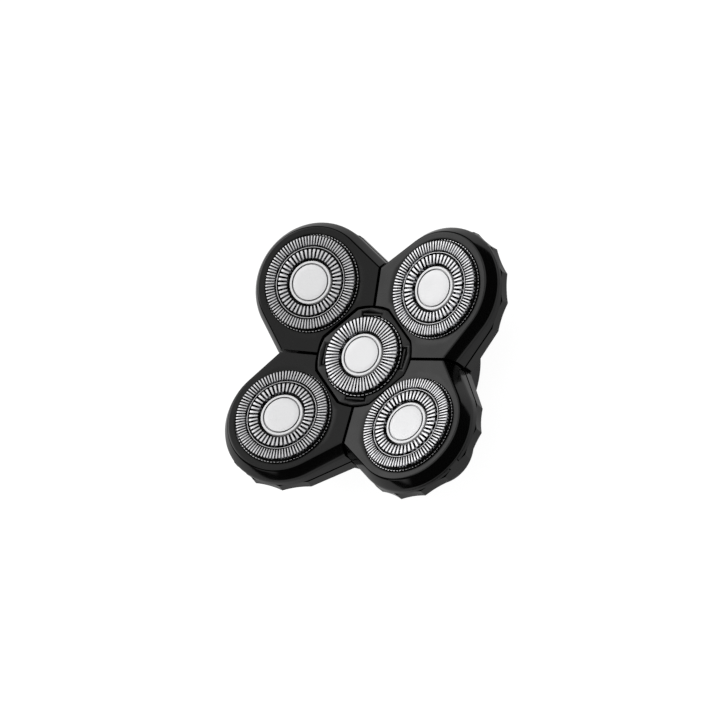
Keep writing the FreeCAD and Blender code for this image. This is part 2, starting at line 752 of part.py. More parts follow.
def make_bowl():
    """Lower shell: fluted wall, floor, posts for the retainer and the hinge bay."""
    region = extrude("bowl_region",
                     sloped_region("bowl_region_side", dim.bowl_depth, dim.underside_slope,
                                   above_all, underside), pod_span, both_ways=True)
    wedge = tall_wedge("bowl_wedge", dim.bowl_gap, dim.centre_gap)
    outside = common("bowl_outside", pod_block("bowl_block", fluted_outline(), face), wedge, region)
    shell = cut("bowl_shell", outside, parting_region("bowl_parting", Size.of(0), above_all))
    hollow_region = extrude("bowl_hollow_region",
                            sloped_region("bowl_hollow_side", dim.bowl_depth - dim.floor_wall,
                                          dim.underside_slope, above_all,
                                          underside + dim.floor_wall), pod_span, both_ways=True)
    hollow = common("bowl_hollow", pod_block("bowl_hollow_block", pod_outline(dim.shell_wall), face),
                    tall_wedge("bowl_hollow_wedge", dim.bowl_gap + dim.shell_wall * 2,
                               dim.centre_gap + dim.shell_wall), hollow_region)
    walls = cut("bowl_walls", shell, hollow)
    post_circle = dim.cap_radius + dim.ear_reach - dim.post_radius
    posts = []
    for number, angle in enumerate(EAR_ANGLES, start=1):
        post = cylinder(f"bowl_post_{number}", dim.post_radius, block_depth)
        spot = Vector(post_circle.value * math.cos(math.radians(angle)),
                      post_circle.value * math.sin(math.radians(angle)),
                      (retainer_under - block_depth).value)
        post.Placement = lean.multiply(Placement(spot, Rotation()))
        posts.append(post)
    bay = box("bowl_bay", (dim.centre_flat, -bay_half, -block_depth),
              (bay_back, bay_half, bay_roof_top))
    tongue = latch_block("bowl_latch_tongue", dim.latch_width - 2 * dim.latch_play,
                         pod_reach - dim.shell_wall, pod_reach - dim.latch_play,
                         dim.shell_wall, dim.latch_rise - dim.latch_play)
    fittings = common("bowl_fittings", fuse("bowl_inner", bay, *posts), outside)
    body = fuse("bowl_body", walls, fittings, tongue)
    bay_room = box("bowl_bay_room", (0, -cheek_half, -block_depth),
                   (dim.bay_reach, cheek_half, -dim.bay_top))
    spindle_room = upright_rod("bowl_spindle_room", dim.spindle_hole, gear_distance,
                               -block_depth, spindle_plane)
    eye = pin_rod("bowl_eye", dim.hinge_eye, dim.knuckle_half)
    web = box("bowl_web", (dim.hinge_radius, -dim.knuckle_half, -dim.hinge_depth - dim.hinge_eye),
              (dim.bay_reach + dim.bay_wall / 2, dim.knuckle_half, -dim.hinge_depth + dim.hinge_eye))
    pin_room = pin_rod("bowl_pin_room", dim.hinge_pin + dim.hinge_play, dim.knuckle_half + 1)
    return cut("petal_bowl", fuse("bowl_with_eye", cut("bowl_opened", body, bay_room, spindle_room),
                                  eye, web), pin_room)


# Caps, drawn about their own discs

track_top = dim.track_rise
track_under = dim.track_rise - dim.track_plate
well_floor = -dim.well_depth
well_under = well_floor - dim.well_plate
stem_hole = dim.stem_radius + dim.stem_play


def cap_section(radius, tracks):
    """Section of a slotted cap; tracks are the corners between its well and its shoulder.

    tracks holds the corners of the upper side going out and of the lower side going in.
    """
    upper, lower = tracks
    inside = radius - dim.cap_wall
    return ([Corner(stem_hole, well_floor), Corner(dim.well_radius, well_floor),
             Corner(dim.well_radius, track_top)] + upper
            + [Corner(radius - dim.shoulder, track_top), Corner(radius, track_top - dim.shoulder),
               Corner(radius, -dim.cap_depth), Corner(inside, -dim.cap_depth),
               Corner(inside, track_under - dim.cap_wall),
               Corner(inside - dim.cap_wall, track_under)] + lower
            + [Corner(dim.well_radius + dim.well_plate, track_under),
               Corner(dim.well_radius + dim.well_plate, well_under), Corner(stem_hole, well_under)])


def rim_slot_section(inner, radius):
    """Side view of the cutter that opens a slot over the shoulder and down the wall."""
    through = track_under - dim.blade_gap
    step = radius - dim.cap_wall - dim.blade_side_gap
    return [Corner(inner, through), Corner(step, through), Corner(step, -dim.slot_drop),
            Corner(radius + 1, -dim.slot_drop), Corner(radius + 1, track_top + 1),
            Corner(inner, track_top + 1)]


def cap_lugs(body, radius, reach, width, lug_top, count):
    """Locating lugs round a cap's wall, under the face of its pod."""
    sketch = body_sketch(body, "lug_outline", height=lug_top)
    draw(sketch, rectangle(radius - dim.cap_wall / 2, -width / 2, radius + reach, width / 2))
    lug = pad(body, "lug", sketch, dim.cap_lug_plate, down=True)
    return around(body, "lugs", [lug], count)


def make_outer_cap():
    """Slotted steel cap with two tracks for the blades."""
    body = new_body("outer_cap")
    floor = -dim.groove_depth
    under = floor - dim.well_plate
    upper = [Corner(dim.inner_track_outside, track_top), Corner(dim.inner_track_outside, floor),
             Corner(dim.land_inside, floor), Corner(dim.land_inside, dim.land_rise),
             Corner(dim.land_outside, dim.land_rise), Corner(dim.land_outside, floor),
             Corner(dim.outer_track_inside, floor), Corner(dim.outer_track_inside, track_top)]
    lower = [Corner(dim.outer_track_inside + dim.groove_wall, track_under),
             Corner(dim.outer_track_inside + dim.groove_wall, under),
             Corner(dim.inner_track_outside - dim.groove_wall, under),
             Corner(dim.inner_track_outside - dim.groove_wall, track_under)]
    revolve(body, "cap_shell", cap_section(dim.cap_radius, (upper, lower)))
    cap_lugs(body, dim.cap_radius, dim.cap_lug_reach, dim.cap_lug_width, plate_under, 3)
    rim = body_sketch(body, "outer_slot_side", "XZ_Plane")
    draw(rim, rim_slot_section(dim.outer_track_inside - dim.slot_lead, dim.cap_radius))
    slot = pocket(body, "outer_slot", rim, dim.outer_slot_width, midplane=True)
    around(body, "outer_slot_ring", [slot], dim.outer_slots)
    side = body_sketch(body, "inner_slot_side", "XZ_Plane")
    start, through = dim.inner_slot_start, track_under - dim.blade_gap
    step, foot = dim.inner_track_outside - dim.groove_wall - dim.slot_lead, floor + dim.blade_gap
    end = dim.inner_track_outside + dim.slot_lead
    draw(side, [Corner(start, through), Corner(step, through), Corner(step, foot),
                Corner(end, foot), Corner(end, track_top + 1), Corner(start, track_top + 1)])
    slot = pocket(body, "inner_slot", side, dim.inner_slot_width, midplane=True)
    around(body, "inner_slot_ring", [slot], dim.inner_slots)
    return body


def make_centre_cap():
    """Slotted steel cap with one track."""
    body = new_body("centre_cap")
    revolve(body, "cap_shell", cap_section(dim.centre_cap_radius, ([], [])))
    cap_lugs(body, dim.centre_cap_radius, dim.centre_lug_reach, dim.centre_lug_width,
             -dim.centre_face_drop - dim.centre_plate, 4)
    rim = body_sketch(body, "slot_side", "XZ_Plane")
    draw(rim, rim_slot_section(dim.well_radius - dim.slot_lead, dim.centre_cap_radius))
    slot = pocket(body, "slot", rim, dim.centre_slot_width, midplane=True)
    around(body, "slot_ring", [slot], dim.centre_slots)
    return body


def make_cap_disc():
    """Plain satin disc on a cap, with a turned ring and a stem through the cap."""
    body = new_body("cap_disc")
    bottom = -dim.well_depth
    revolve(body, "disc", [
        Corner(0, 0), Corner(dim.disc_ring_inside, 0),
        Corner(dim.disc_ring_inside, -dim.disc_ring_depth),
        Corner(dim.disc_ring_outside, -dim.disc_ring_depth), Corner(dim.disc_ring_outside, 0),
        Corner(dim.disc_radius - dim.disc_rim, 0), Corner(dim.disc_radius, -dim.disc_rim),
        Corner(dim.disc_radius, bottom), Corner(dim.stem_radius, bottom),
        Corner(dim.stem_radius, bottom - dim.stem_length), Corner(0, bottom - dim.stem_length)])
    return body


# Cutters and their carriers

blade_tip = track_under - dim.blade_gap
ring_top = blade_tip - dim.blade_height
ring_under = ring_top - dim.blade_ring_plate
well_outside = dim.well_radius + dim.well_plate


def make_cutter(name, rows):
    """Steel ring with rows of raked blades; rows are (inner, outer) radii."""
    body = new_body(name)
    outer = rows[-1][1]
    ring = pad(body, "blade_ring", draw_circle(body_sketch(body, "ring_outline", height=ring_under),
                                               outer), dim.blade_ring_plate)
    hole = body_sketch(body, "ring_hole", height=ring_top)
    pocket(body, "carrier_hole", draw_circle(hole, dim.carrier_boss + dim.stem_play),
           dim.blade_ring_plate * 2)
    lean_run = dim.blade_height * tangent(dim.blade_rake)
    half = dim.blade_thickness / 2
    for index, (inside, outside) in enumerate(rows, start=1):
        side = body_sketch(body, f"blade_side_{index}", "YZ_Plane", height=inside)
        draw(side, [Corner(-lean_run / 2 - half, ring_top), Corner(-lean_run / 2 + half, ring_top),
                    Corner(lean_run / 2 + half, blade_tip), Corner(lean_run / 2 - half, blade_tip)])
        blade = pad(body, f"blade_{index}", side, outside - inside)
        around(body, f"blade_row_{index}", [blade], dim.blades)
    return body


def make_carrier():
    """Plastic carrier: boss, flange and a hub with the drive socket."""
    body = new_body("cutter_carrier")
    flange_under = retainer_top + dim.carrier_gap
    mouth = -dim.socket_depth - dim.socket_reach
    revolve(body, "carrier", [
        Corner(0, ring_top), Corner(dim.carrier_boss, ring_top), Corner(dim.carrier_boss, ring_under),
        Corner(dim.carrier_radius, ring_under), Corner(dim.carrier_radius, flange_under),
        Corner(dim.carrier_hub, flange_under), Corner(dim.carrier_hub, mouth), Corner(0, mouth)])
    sketch = draw(body_sketch(body, "socket_outline", height=mouth),
                  polygon(4, dim.tip_flat + dim.socket_play, 45.0))
    pocket(body, "drive_socket", sketch, dim.socket_reach + dim.tip_radius + dim.tip_play, up=True)
    return body


def make_retainer(name, radius, ear_angles):
    """Ring under a cap that carries the cutter's hub on three spokes."""
    body = new_body(name)
    ring = body_sketch(body, "ring_outline", height=retainer_under)
    draw_circle(ring, radius)
    draw_circle(ring, radius - dim.retainer_ring)
    pad(body, "ring", ring, dim.retainer_plate)
    hole = dim.carrier_hub + dim.hub_gap
    hub = body_sketch(body, "hub_outline", height=retainer_under)
    draw_circle(hub, hole + dim.retainer_hub_wall)
    draw_circle(hub, hole)
    spoke = body_sketch(body, "spoke_outline", height=retainer_under)
    draw(spoke, rectangle(hole + dim.retainer_hub_wall / 2, -dim.spoke_width / 2,
                          radius - dim.retainer_ring / 2, dim.spoke_width / 2))
    spoke_pad = pad(body, "spoke", spoke, dim.retainer_plate)
    around(body, "spokes", [spoke_pad], Size.of(3))
    pad(body, "hub", hub, dim.retainer_plate)
    for index, angle in enumerate(ear_angles, start=1):
        ear = body_sketch(body, f"ear_outline_{index}", height=retainer_under)
        draw(ear, rectangle(radius - dim.retainer_ring / 2, -dim.spoke_width / 2,
                            radius + dim.ear_reach, dim.spoke_width / 2))
        ear.AttachmentOffset = Placement(ear.AttachmentOffset.Base,
                                         Rotation(Vector(0, 0, 1), angle))
        pad(body, f"ear_{index}", ear, dim.retainer_plate)
    return body


# Spindles and springs, drawn about the middle of the spindle's tip

collar_top = -dim.collar_drop
collar_under = collar_top - dim.collar_plate
hub_top = collar_under - dim.spring_length


def make_spindle():
    """Drive spindle: rounded square tip, neck, collar and square shank."""
    ball = bind(document.addObject("Part::Sphere", "spindle_ball"), Radius=dim.tip_radius)
    square = extrude("spindle_square",
                     shift(flat_sketch("spindle_square_outline", polygon(4, dim.tip_flat, 45.0)),
                           z=-dim.tip_radius), dim.tip_radius * 2)
    tip = common("spindle_tip", ball, square)
    neck = upright_rod("spindle_neck", dim.neck_radius, 0, collar_under, 0)
    collar = upright_rod("spindle_collar", dim.collar_radius, 0, collar_under, collar_top)
    shank = extrude("spindle_shank",
                    shift(flat_sketch("spindle_shank_outline", polygon(4, dim.shank_flat, 45.0)),
                          z=collar_under - dim.shank_length), dim.shank_length)
    return fuse("spindle", tip, neck, collar, shank)


def make_spring():
    """Coil spring between the spindle's collar and the gear's hub, its wire drawn with flats."""
    steps, flats = 18, 8
    radius, wire = dim.spring_radius.value, dim.spring_wire.value / 2
    reach = wire / math.cos(math.pi / flats)
    rise = dim.spring_length.value - 2 * wire
    last = round(steps * dim.spring_turns.value)
    sections = []
    for step in range(last + 1):
        turn = 2 * math.pi * step / steps
        height = hub_top.value + wire + rise * step / last
        ring = []
        for corner in range(flats + 1):
            angle = 2 * math.pi * (corner + 0.5) / flats
            out = radius + reach * math.cos(angle)
            ring.append(Vector(out * math.cos(turn), out * math.sin(turn),
                               height + reach * math.sin(angle)))
        sections.append(Part.makePolygon(ring))
    spring = document.addObject("Part::Feature", "spindle_spring")
    spring.Shape = Part.makeLoft(sections, True, True)
    return spring


# Gear train

def gear_space(teeth):
    """Outline of the space between two teeth, widening from root to tip, about +X."""
    pitch = gear_module * teeth / 2
    root_radius = pitch - 1.25 * gear_module
    tip = pitch + gear_module
    quarter = gear_module * (math.pi / 4) + dim.tooth_backlash / 2
    pressure = tangent(Size.of(20.0))
    root_half = quarter - 1.25 * gear_module * pressure * 1.1
    tip_half = quarter + gear_module * pressure * 1.45
    return [Corner(root_radius, -root_half), Corner(pitch, -quarter), Corner(tip, -tip_half),
            Corner(tip + gear_module, -tip_half), Corner(tip + gear_module, tip_half),
            Corner(tip, tip_half), Corner(pitch, quarter), Corner(root_radius, root_half)]


def add_teeth(body, teeth, top):
    """Cut the teeth of a gear whose blank stands from gear_under to top."""
    space = pocket(body, "tooth_space", draw(body_sketch(body, "tooth_space_outline", height=top),
                                             gear_space(teeth)), dim.gear_width + 1)
    return around(body, "tooth_spaces", [space], teeth)


gearbox_top = -dim.gear_cover_depth
cover_under = gearbox_top - dim.gear_cover_plate
gear_top = cover_under - dim.gear_play
gear_under = gear_top - dim.gear_width
floor_top = gear_under - dim.gear_play
floor_under = floor_top - dim.gearbox_floor
neck_rim = -dim.disc_plane_height
planet_hub_top = spindle_plane + hub_top
centre_spindle_plane = centre_plane - dim.socket_depth
sun_hub_top = centre_spindle_plane + hub_top
shank_foot = collar_under - dim.shank_length
sun_tip = gear_module * (dim.sun_teeth / 2 + 1)
planet_tip = gear_module * (dim.planet_teeth / 2 + 1)


def make_planet():
    """Outer gear with a square bore for its spindle."""
    body = new_body("planet_gear")
    foot = gear_under - dim.gear_foot_length
    revolve(body, "blank", [
        Corner(0, foot), Corner(dim.gear_foot, foot), Corner(dim.gear_foot, gear_under),
        Corner(planet_tip, gear_under), Corner(planet_tip, gear_top), Corner(dim.gear_hub, gear_top),
        Corner(dim.gear_hub, planet_hub_top), Corner(0, planet_hub_top)])
    bore = draw(body_sketch(body, "bore_outline", height=planet_hub_top),
                polygon(4, dim.shank_flat + dim.shank_play, 45.0))
    pocket(body, "bore", bore, planet_hub_top - foot + 1)
    add_teeth(body, dim.planet_teeth, gear_top)
    return body


def make_sun():
    """Middle gear: square bore for the centre spindle, hexagon socket for the drive."""
    body = new_body("sun_gear")
    mouth = neck_rim + dim.drive_recess
    revolve(body, "blank", [
        Corner(0, mouth), Corner(dim.sun_journal, mouth), Corner(dim.sun_journal, gear_under),
        Corner(sun_tip, gear_under), Corner(sun_tip, gear_top), Corner(dim.gear_hub, gear_top),
        Corner(dim.gear_hub, sun_hub_top), Corner(0, sun_hub_top)])
    bore = draw(body_sketch(body, "bore_outline", height=sun_hub_top),
                polygon(4, dim.shank_flat + dim.shank_play, 45.0))
    bore_foot = centre_spindle_plane + shank_foot - dim.centre_travel - dim.gear_play / 2
    pocket(body, "bore", bore, sun_hub_top - bore_foot)
    socket = draw(body_sketch(body, "socket_outline", height=mouth), polygon(6, dim.drive_flat))
    pocket(body, "drive_socket", socket, dim.drive_depth, up=True)
    add_teeth(body, dim.sun_teeth, gear_top)
    return body


# Gearbox

planet_room = planet_tip + dim.gear_wall_gap
seal_seat = dim.neck_outside - dim.seal_sink


def lobed(make, body, name, height, length, middle, lobe):
    """Raise or cut the gearbox's outline: a middle disc and a lobe round each outer gear."""
    disc = draw_circle(body_sketch(body, name + "_middle_outline", height=height), middle)
    make(body, name + "_middle", disc, length)
    outline = draw_circle(body_sketch(body, name + "_lobe_outline", height=height), lobe,
                          gear_distance)
    return around(body, name + "_lobes", [make(body, name + "_lobe", outline, length)], 4)


def screw_circle_sketch(body, name, height, radius):
    """A circle at the first screw, half way between two outer gears' lobes."""
    return draw_circle(body_sketch(body, name, height=height), radius,
                       dim.screw_circle * cosine(dim.screw_angle),
                       dim.screw_circle * sine(dim.screw_angle))


def make_gearbox():
    """Gearbox base: four-lobed pan, journals, screw bosses and the neck."""
    body = new_body("gearbox_base")
    wall = dim.gearbox_wall
    pan = lobed(pad, body, "pan", floor_under, cover_under - floor_under, dim.gearbox_middle,
                planet_room + wall)
    document.recompute()
    bevel = body.newObject("PartDesign::Chamfer", "pan_bevel")
    bevel.Base = (pan, edges_at(pan.Shape, floor_under))
    bind(bevel, Size=dim.gearbox_bevel)
    lobed(pocket, body, "room", cover_under, cover_under - floor_top, dim.gearbox_middle - wall,
          planet_room)
    boss = screw_circle_sketch(body, "boss_outline", floor_under + dim.gearbox_bevel,
                               dim.screw_boss)
    around(body, "bosses", [pad(body, "boss", boss, cover_under - floor_under
                                - dim.gearbox_bevel)], 4)
    neck = body_sketch(body, "neck_outline", height=neck_rim)
    draw_circle(neck, dim.neck_outside)
    draw_circle(neck, dim.neck_outside - dim.neck_wall)
    pad(body, "neck", neck, floor_under - neck_rim + dim.gearbox_floor / 2)
    seat = body_sketch(body, "seal_seat_outline", height=floor_under)
    draw_circle(seat, dim.neck_outside + dim.seal_width)
    draw_circle(seat, seal_seat)
    pocket(body, "seal_seat", seat, dim.seal_plate + dim.seal_room)
    journal = draw_circle(body_sketch(body, "sun_journal_outline", height=floor_top),
                          dim.sun_journal + dim.journal_play)
    pocket(body, "sun_journal", journal, dim.gearbox_floor * 2)
    foot = draw_circle(body_sketch(body, "planet_foot_outline", height=floor_top),
                       dim.gear_foot + dim.journal_play, gear_distance)
    foot_depth = dim.gear_foot_length - dim.gear_play + dim.journal_play
    around(body, "planet_feet", [pocket(body, "planet_foot", foot, foot_depth)], 4)
    pilot = screw_circle_sketch(body, "pilot_outline", cover_under, dim.screw_shank)
    pilot_depth = dim.screw_length - dim.gear_cover_plate + dim.screw_sink + dim.screw_play
    around(body, "pilots", [pocket(body, "pilot", pilot, pilot_depth)], 4)
    key = body_sketch(body, "key_outline", height=neck_rim)
    draw(key, rectangle(dim.neck_outside - dim.key_depth, -dim.key_width / 2,
                        dim.neck_outside + 1, dim.key_width / 2))
    around(body, "keyways", [pocket(body, "keyway", key, floor_under - neck_rim, up=True)], 2)
    return body


def edges_at(shape, height):
    """Names of the edges that lie flat at a height."""
    return [f"Edge{number}" for number, edge in enumerate(shape.Edges, start=1)
            if abs(edge.BoundBox.ZMin - height.value) < 1e-4
            and abs(edge.BoundBox.ZMax - height.value) < 1e-4]


def make_gear_cover():
    """Gear cover: plate, hinge ears for the pods and the guide of the centre pod."""
    body = new_body("gear_cover")
    lobed(pad, body, "plate", cover_under, dim.gear_cover_plate, dim.gearbox_middle,
          planet_room + dim.gearbox_wall)
    guide = draw_circle(body_sketch(body, "guide_outline", height=cover_under), dim.guide_radius)
    pad(body, "guide", guide, -dim.guide_top - cover_under)
    bore = draw_circle(body_sketch(body, "guide_bore_outline", height=-dim.guide_top),
                       dim.guide_radius - dim.guide_wall)
    pocket(body, "guide_bore", bore, -dim.guide_top - gearbox_top)
    hub = draw_circle(body_sketch(body, "sun_hub_outline", height=gearbox_top),
                      dim.gear_hub + dim.journal_play)
    pocket(body, "sun_hub_hole", hub, dim.gear_cover_plate * 2)
    outer = draw_circle(body_sketch(body, "planet_hub_outline", height=gearbox_top),
                        dim.gear_hub + dim.journal_play, gear_distance)
    around(body, "planet_hub_holes", [pocket(body, "planet_hub_hole", outer,
                                             dim.gear_cover_plate * 2)], 4)
    near = dim.knuckle_half + dim.hinge_side_play
    ear = draw(body_sketch(body, "ear_side", "XZ_Plane"), ear_outline(dim.hinge_eye))
    ears = pad(body, "ears", ear, 2 * (near + dim.ear_width))
    ears.Midplane = True
    between = draw(body_sketch(body, "ear_gap_side", "XZ_Plane"),
                   rectangle(dim.hinge_radius - dim.hinge_eye * 2, gearbox_top,
                             dim.hinge_radius + dim.hinge_eye * 2, -dim.hinge_depth
                             + dim.hinge_eye * 2))
    gap = pocket(body, "ear_gap", between, 2 * near, midplane=True)
    eye = draw_circle(body_sketch(body, "ear_eye_side", "XZ_Plane"), dim.hinge_pin,
                      dim.hinge_radius, -dim.hinge_depth)
    hole = pocket(body, "ear_eye", eye, 4 * (near + dim.ear_width), midplane=True)
    around(body, "hinges", [ears, gap, hole], 4)
    sink = screw_circle_sketch(body, "sink_outline", gearbox_top,
                               dim.screw_head + dim.screw_play)
    shank = screw_circle_sketch(body, "shank_outline", gearbox_top,
                                dim.screw_shank + dim.screw_play)
    around(body, "screw_holes", [pocket(body, "sink", sink, dim.screw_sink),
                                 pocket(body, "shank_hole", shank, dim.gear_cover_plate * 2)], 4)
    return body


def ear_outline(radius):
    """Side view of a hinge ear: a foot on the gear cover and a round head."""
    left, right = dim.hinge_radius - radius, dim.hinge_radius + radius
    foot = gearbox_top - dim.gear_cover_plate / 2
    head = -dim.hinge_depth
    return [Corner(left, foot), Corner(right, foot), Corner(right, head, radius),
            Corner(dim.hinge_radius, head + radius, radius), Corner(left, head)]


def make_screw():
    """Gear cover screw with a recess for a hexagon key, drawn about its head's seat."""
    body = new_body("gear_cover_screw")
    revolve(body, "screw", [
        Corner(0, -dim.screw_length), Corner(dim.screw_shank / 2, -dim.screw_length),
        Corner(dim.screw_shank, -dim.screw_length + dim.screw_shank),
        Corner(dim.screw_shank, 0), Corner(dim.screw_head, 0),
        Corner(dim.screw_head, dim.screw_head_plate - dim.screw_bevel),
        Corner(dim.screw_head - dim.screw_bevel, dim.screw_head_plate),
        Corner(0, dim.screw_head_plate)])
    recess = draw(body_sketch(body, "recess_outline", height=dim.screw_head_plate),
                  polygon(6, dim.screw_recess))
    pocket(body, "recess", recess, dim.screw_head_plate / 2)
    return body


def make_pin():
    """Hinge pin, drawn along Z about its middle, with bevelled ends."""
    body = new_body("hinge_pin")
    half = dim.knuckle_half + dim.hinge_side_play + dim.ear_width
    bevel = dim.hinge_pin / 4
    revolve(body, "pin", [
        Corner(0, -half), Corner(dim.hinge_pin - bevel, -half), Corner(dim.hinge_pin, -half + bevel),
        Corner(dim.hinge_pin, half - bevel), Corner(dim.hinge_pin - bevel, half), Corner(0, half)])
    return body


def make_seal():
    """Rubber ring in its seat round the neck's root, with a rounded lip."""
    body = new_body("neck_seal")
    inside = seal_seat + dim.seal_play
    outside = inside + dim.seal_width
    bottom = floor_under - dim.seal_plate
    half = dim.seal_plate / 2
    revolve(body, "seal", [
        Corner(inside, bottom), Corner(outside - half, bottom, half),
        Corner(outside, bottom + half, half), Corner(outside - half, floor_under),
        Corner(inside, floor_under)])
    return body


# Centre pod, with X towards one of the outer pods and Z = 0 at the outer discs

centre_face = centre_plane - dim.centre_face_drop
centre_plate_under = centre_face - dim.centre_plate
flange_under = centre_face - dim.centre_flange
centre_rim = centre_plane + retainer_under
centre_hole = dim.centre_cap_radius + dim.centre_hole_gap
lug_tip = dim.centre_cap_radius + dim.centre_lug_reach
lug_room = root(lug_tip * lug_tip + dim.centre_lug_width * dim.centre_lug_width / 4) + dim.lug_play
centre_bore = centre_hole - dim.bayonet_depth / 2
centre_retainer_radius = dim.centre_cap_radius - dim.lug_play


def make_centre_cover():
    """Face of the centre pod: round, flat towards each outer pod, with four bayonet notches."""
    body = new_body("centre_cover")
    bevel = dim.centre_bevel
    revolve(body, "face", [
        Corner(centre_hole, flange_under), Corner(dim.centre_radius, flange_under),
        Corner(dim.centre_radius, centre_face - bevel), Corner(dim.centre_radius - bevel, centre_face),
        Corner(centre_hole, centre_face)])
    side = body_sketch(body, "flat_side", "XZ_Plane")
    draw(side, [Corner(dim.centre_flat, flange_under - 1), Corner(dim.centre_radius + 1,
                flange_under - 1), Corner(dim.centre_radius + 1, centre_face + 1),
                Corner(dim.centre_flat - bevel - 1, centre_face + 1),
                Corner(dim.centre_flat, centre_face - bevel)])
    flat = pocket(body, "flat", side, dim.centre_radius * 2, midplane=True)
    around(body, "flats", [flat], 4)
    waist = body_sketch(body, "waist_outline", height=centre_rim)
    draw_circle(waist, dim.centre_waist)
    draw_circle(waist, centre_bore)
    pad(body, "waist", waist, flange_under - centre_rim)
    room = draw_circle(body_sketch(body, "lug_room_outline", height=centre_plate_under), lug_room)
    pocket(body, "lug_room", room, centre_plate_under - flange_under)
    notch = body_sketch(body, "bayonet_outline", height=centre_face)
    half = dim.bayonet_width / 2
    draw(notch, rectangle(centre_hole - 1, -half, centre_hole + dim.bayonet_depth, half))
    turned(notch, centre_face, 45.0)
    around(body, "bayonets", [pocket(body, "bayonet", notch, dim.centre_plate)], 4)
    return body


def turned(sketch, height, angle):
    """Turn a sketch about the Z axis."""
    sketch.AttachmentOffset = Placement(Vector(0, 0, height.value),
                                        Rotation(Vector(0, 0, 1), angle))
    sketch.setExpression("AttachmentOffset.Base.z", height.formula)
    return sketch


def make_centre_bowl():
    """Lower shell of the centre pod, with the sleeve that slides on the gear cover's guide."""
    body = new_body("centre_bowl")
    floor = -dim.centre_bowl_floor_top
    sleeve = dim.guide_radius + dim.guide_play
    revolve(body, "bowl", [
        Corner(sleeve, -dim.sleeve_foot), Corner(sleeve + dim.sleeve_wall, -dim.sleeve_foot),
        Corner(sleeve + dim.sleeve_wall, floor - dim.centre_bowl_floor),
        Corner(dim.centre_bowl_outside, floor - dim.centre_bowl_floor),
        Corner(dim.centre_bowl_outside, centre_rim), Corner(dim.centre_bowl_inside, centre_rim),
        Corner(dim.centre_bowl_inside, floor), Corner(sleeve + dim.sleeve_wall, floor),
        Corner(sleeve + dim.sleeve_wall, -dim.sleeve_top), Corner(sleeve, -dim.sleeve_top)])
    return body


# Build every piece once, then place the repeated ones

inner_row = (well_outside + dim.blade_side_gap,
             dim.inner_track_outside - dim.groove_wall - dim.blade_side_gap)
outer_row = (dim.outer_track_inside + dim.groove_wall + dim.blade_side_gap,
             dim.cap_radius - dim.cap_wall * 2 - dim.blade_side_gap)
centre_row = (well_outside + dim.blade_side_gap,
              dim.centre_cap_radius - dim.cap_wall * 2 - dim.blade_side_gap)

cap_disc = make_cap_disc()
carrier = make_carrier()
spindle = make_spindle()
spring = make_spring()


def about_z(angle):
    return Placement(Vector(), Rotation(Vector(0, 0, 1), angle))


def along_z(size):
    return Placement(Vector(0, 0, size.value), Rotation())


# The middle gear has a tooth towards the first outer pod; each outer gear has a space there
sun_count = int(dim.sun_teeth.value)
planet_count = int(dim.planet_teeth.value)
sun_turn = POD_AZIMUTHS[0] + 180.0 / sun_count
tooth_shares = [(-sun_count * k / 4) % 1 for k in range(4)]
gear_turns = [180.0 - 360.0 * share / planet_count for share in tooth_shares]

diagonal = disc_plane.multiply(about_z(POD_AZIMUTHS[0]))
gear_places = [place.multiply(Placement(Vector(gear_distance.value, 0, 0),
                                        Rotation(Vector(0, 0, 1), turn)))
               for place, turn in zip(upright_places, gear_turns)]
spinning_places = [place.multiply(about_z(turn)) for place, turn in zip(leaning_places, gear_turns)]
sun_place = disc_plane.multiply(about_z(sun_turn))
centre_disc_place = sun_place.multiply(along_z(centre_plane))
pin_place = Placement(Vector(dim.hinge_radius.value, 0, -dim.hinge_depth.value),
                      Rotation(Vector(1, 0, 0), 90))
screw_seat = gearbox_top - dim.screw_sink
screw_places = [diagonal.multiply(about_z(90.0 * k + dim.screw_angle.value)).multiply(
    Placement(Vector(dim.screw_circle.value, 0, screw_seat.value), Rotation())) for k in range(4)]

place_copies(make_cover(), "petal_cover", upright_places)
place_copies(make_bowl(), "petal_bowl", upright_places)
place_copies(make_outer_cap(), "outer_cap", leaning_places)
place_copies(cap_disc, "cap_disc", leaning_places
             + [diagonal.multiply(along_z(centre_plane))])
place_copies(make_cutter("outer_cutter", [inner_row, outer_row]), "cutter", spinning_places)
place_copies(carrier, "cutter_carrier", spinning_places + [centre_disc_place])
place_copies(make_retainer("outer_retainer", dim.cap_radius, EAR_ANGLES), "cutter_retainer",
             leaning_places)
spindle_level = along_z(spindle_plane)
spindle_places = ([place.multiply(spindle_level) for place in gear_places]
                  + [sun_place.multiply(along_z(centre_spindle_plane))])
place_copies(spindle, "spindle", spindle_places)
place_copies(spring, "spindle_spring", spindle_places)
place_copies(make_planet(), "planet_gear", gear_places)
place_copies(make_pin(), "hinge_pin", [place.multiply(pin_place) for place in upright_places])
place_once(make_centre_cap(), "centre_cap", diagonal.multiply(along_z(centre_plane)))
place_once(make_cutter("middle_cutter", [centre_row]), "cutter_5", centre_disc_place)
place_once(make_retainer("middle_retainer", centre_retainer_radius, []), "cutter_retainer_5",
           diagonal.multiply(along_z(centre_plane)))
place_once(make_centre_cover(), "centre_cover", diagonal)
place_once(make_centre_bowl(), "centre_bowl", diagonal)
place_once(make_sun(), "sun_gear", sun_place)
place_once(make_gearbox(), "gearbox_base", diagonal)
place_once(make_gear_cover(), "gear_cover", diagonal)
place_once(make_seal(), "neck_seal", disc_plane)
screws = document.addObject("Part::Compound", "gear_cover_screws")
screw = make_screw()
screws.Links = [linked(screw, f"screw_{number}", place)
                for number, place in enumerate(screw_places, start=1)]
nodes.append(screws)

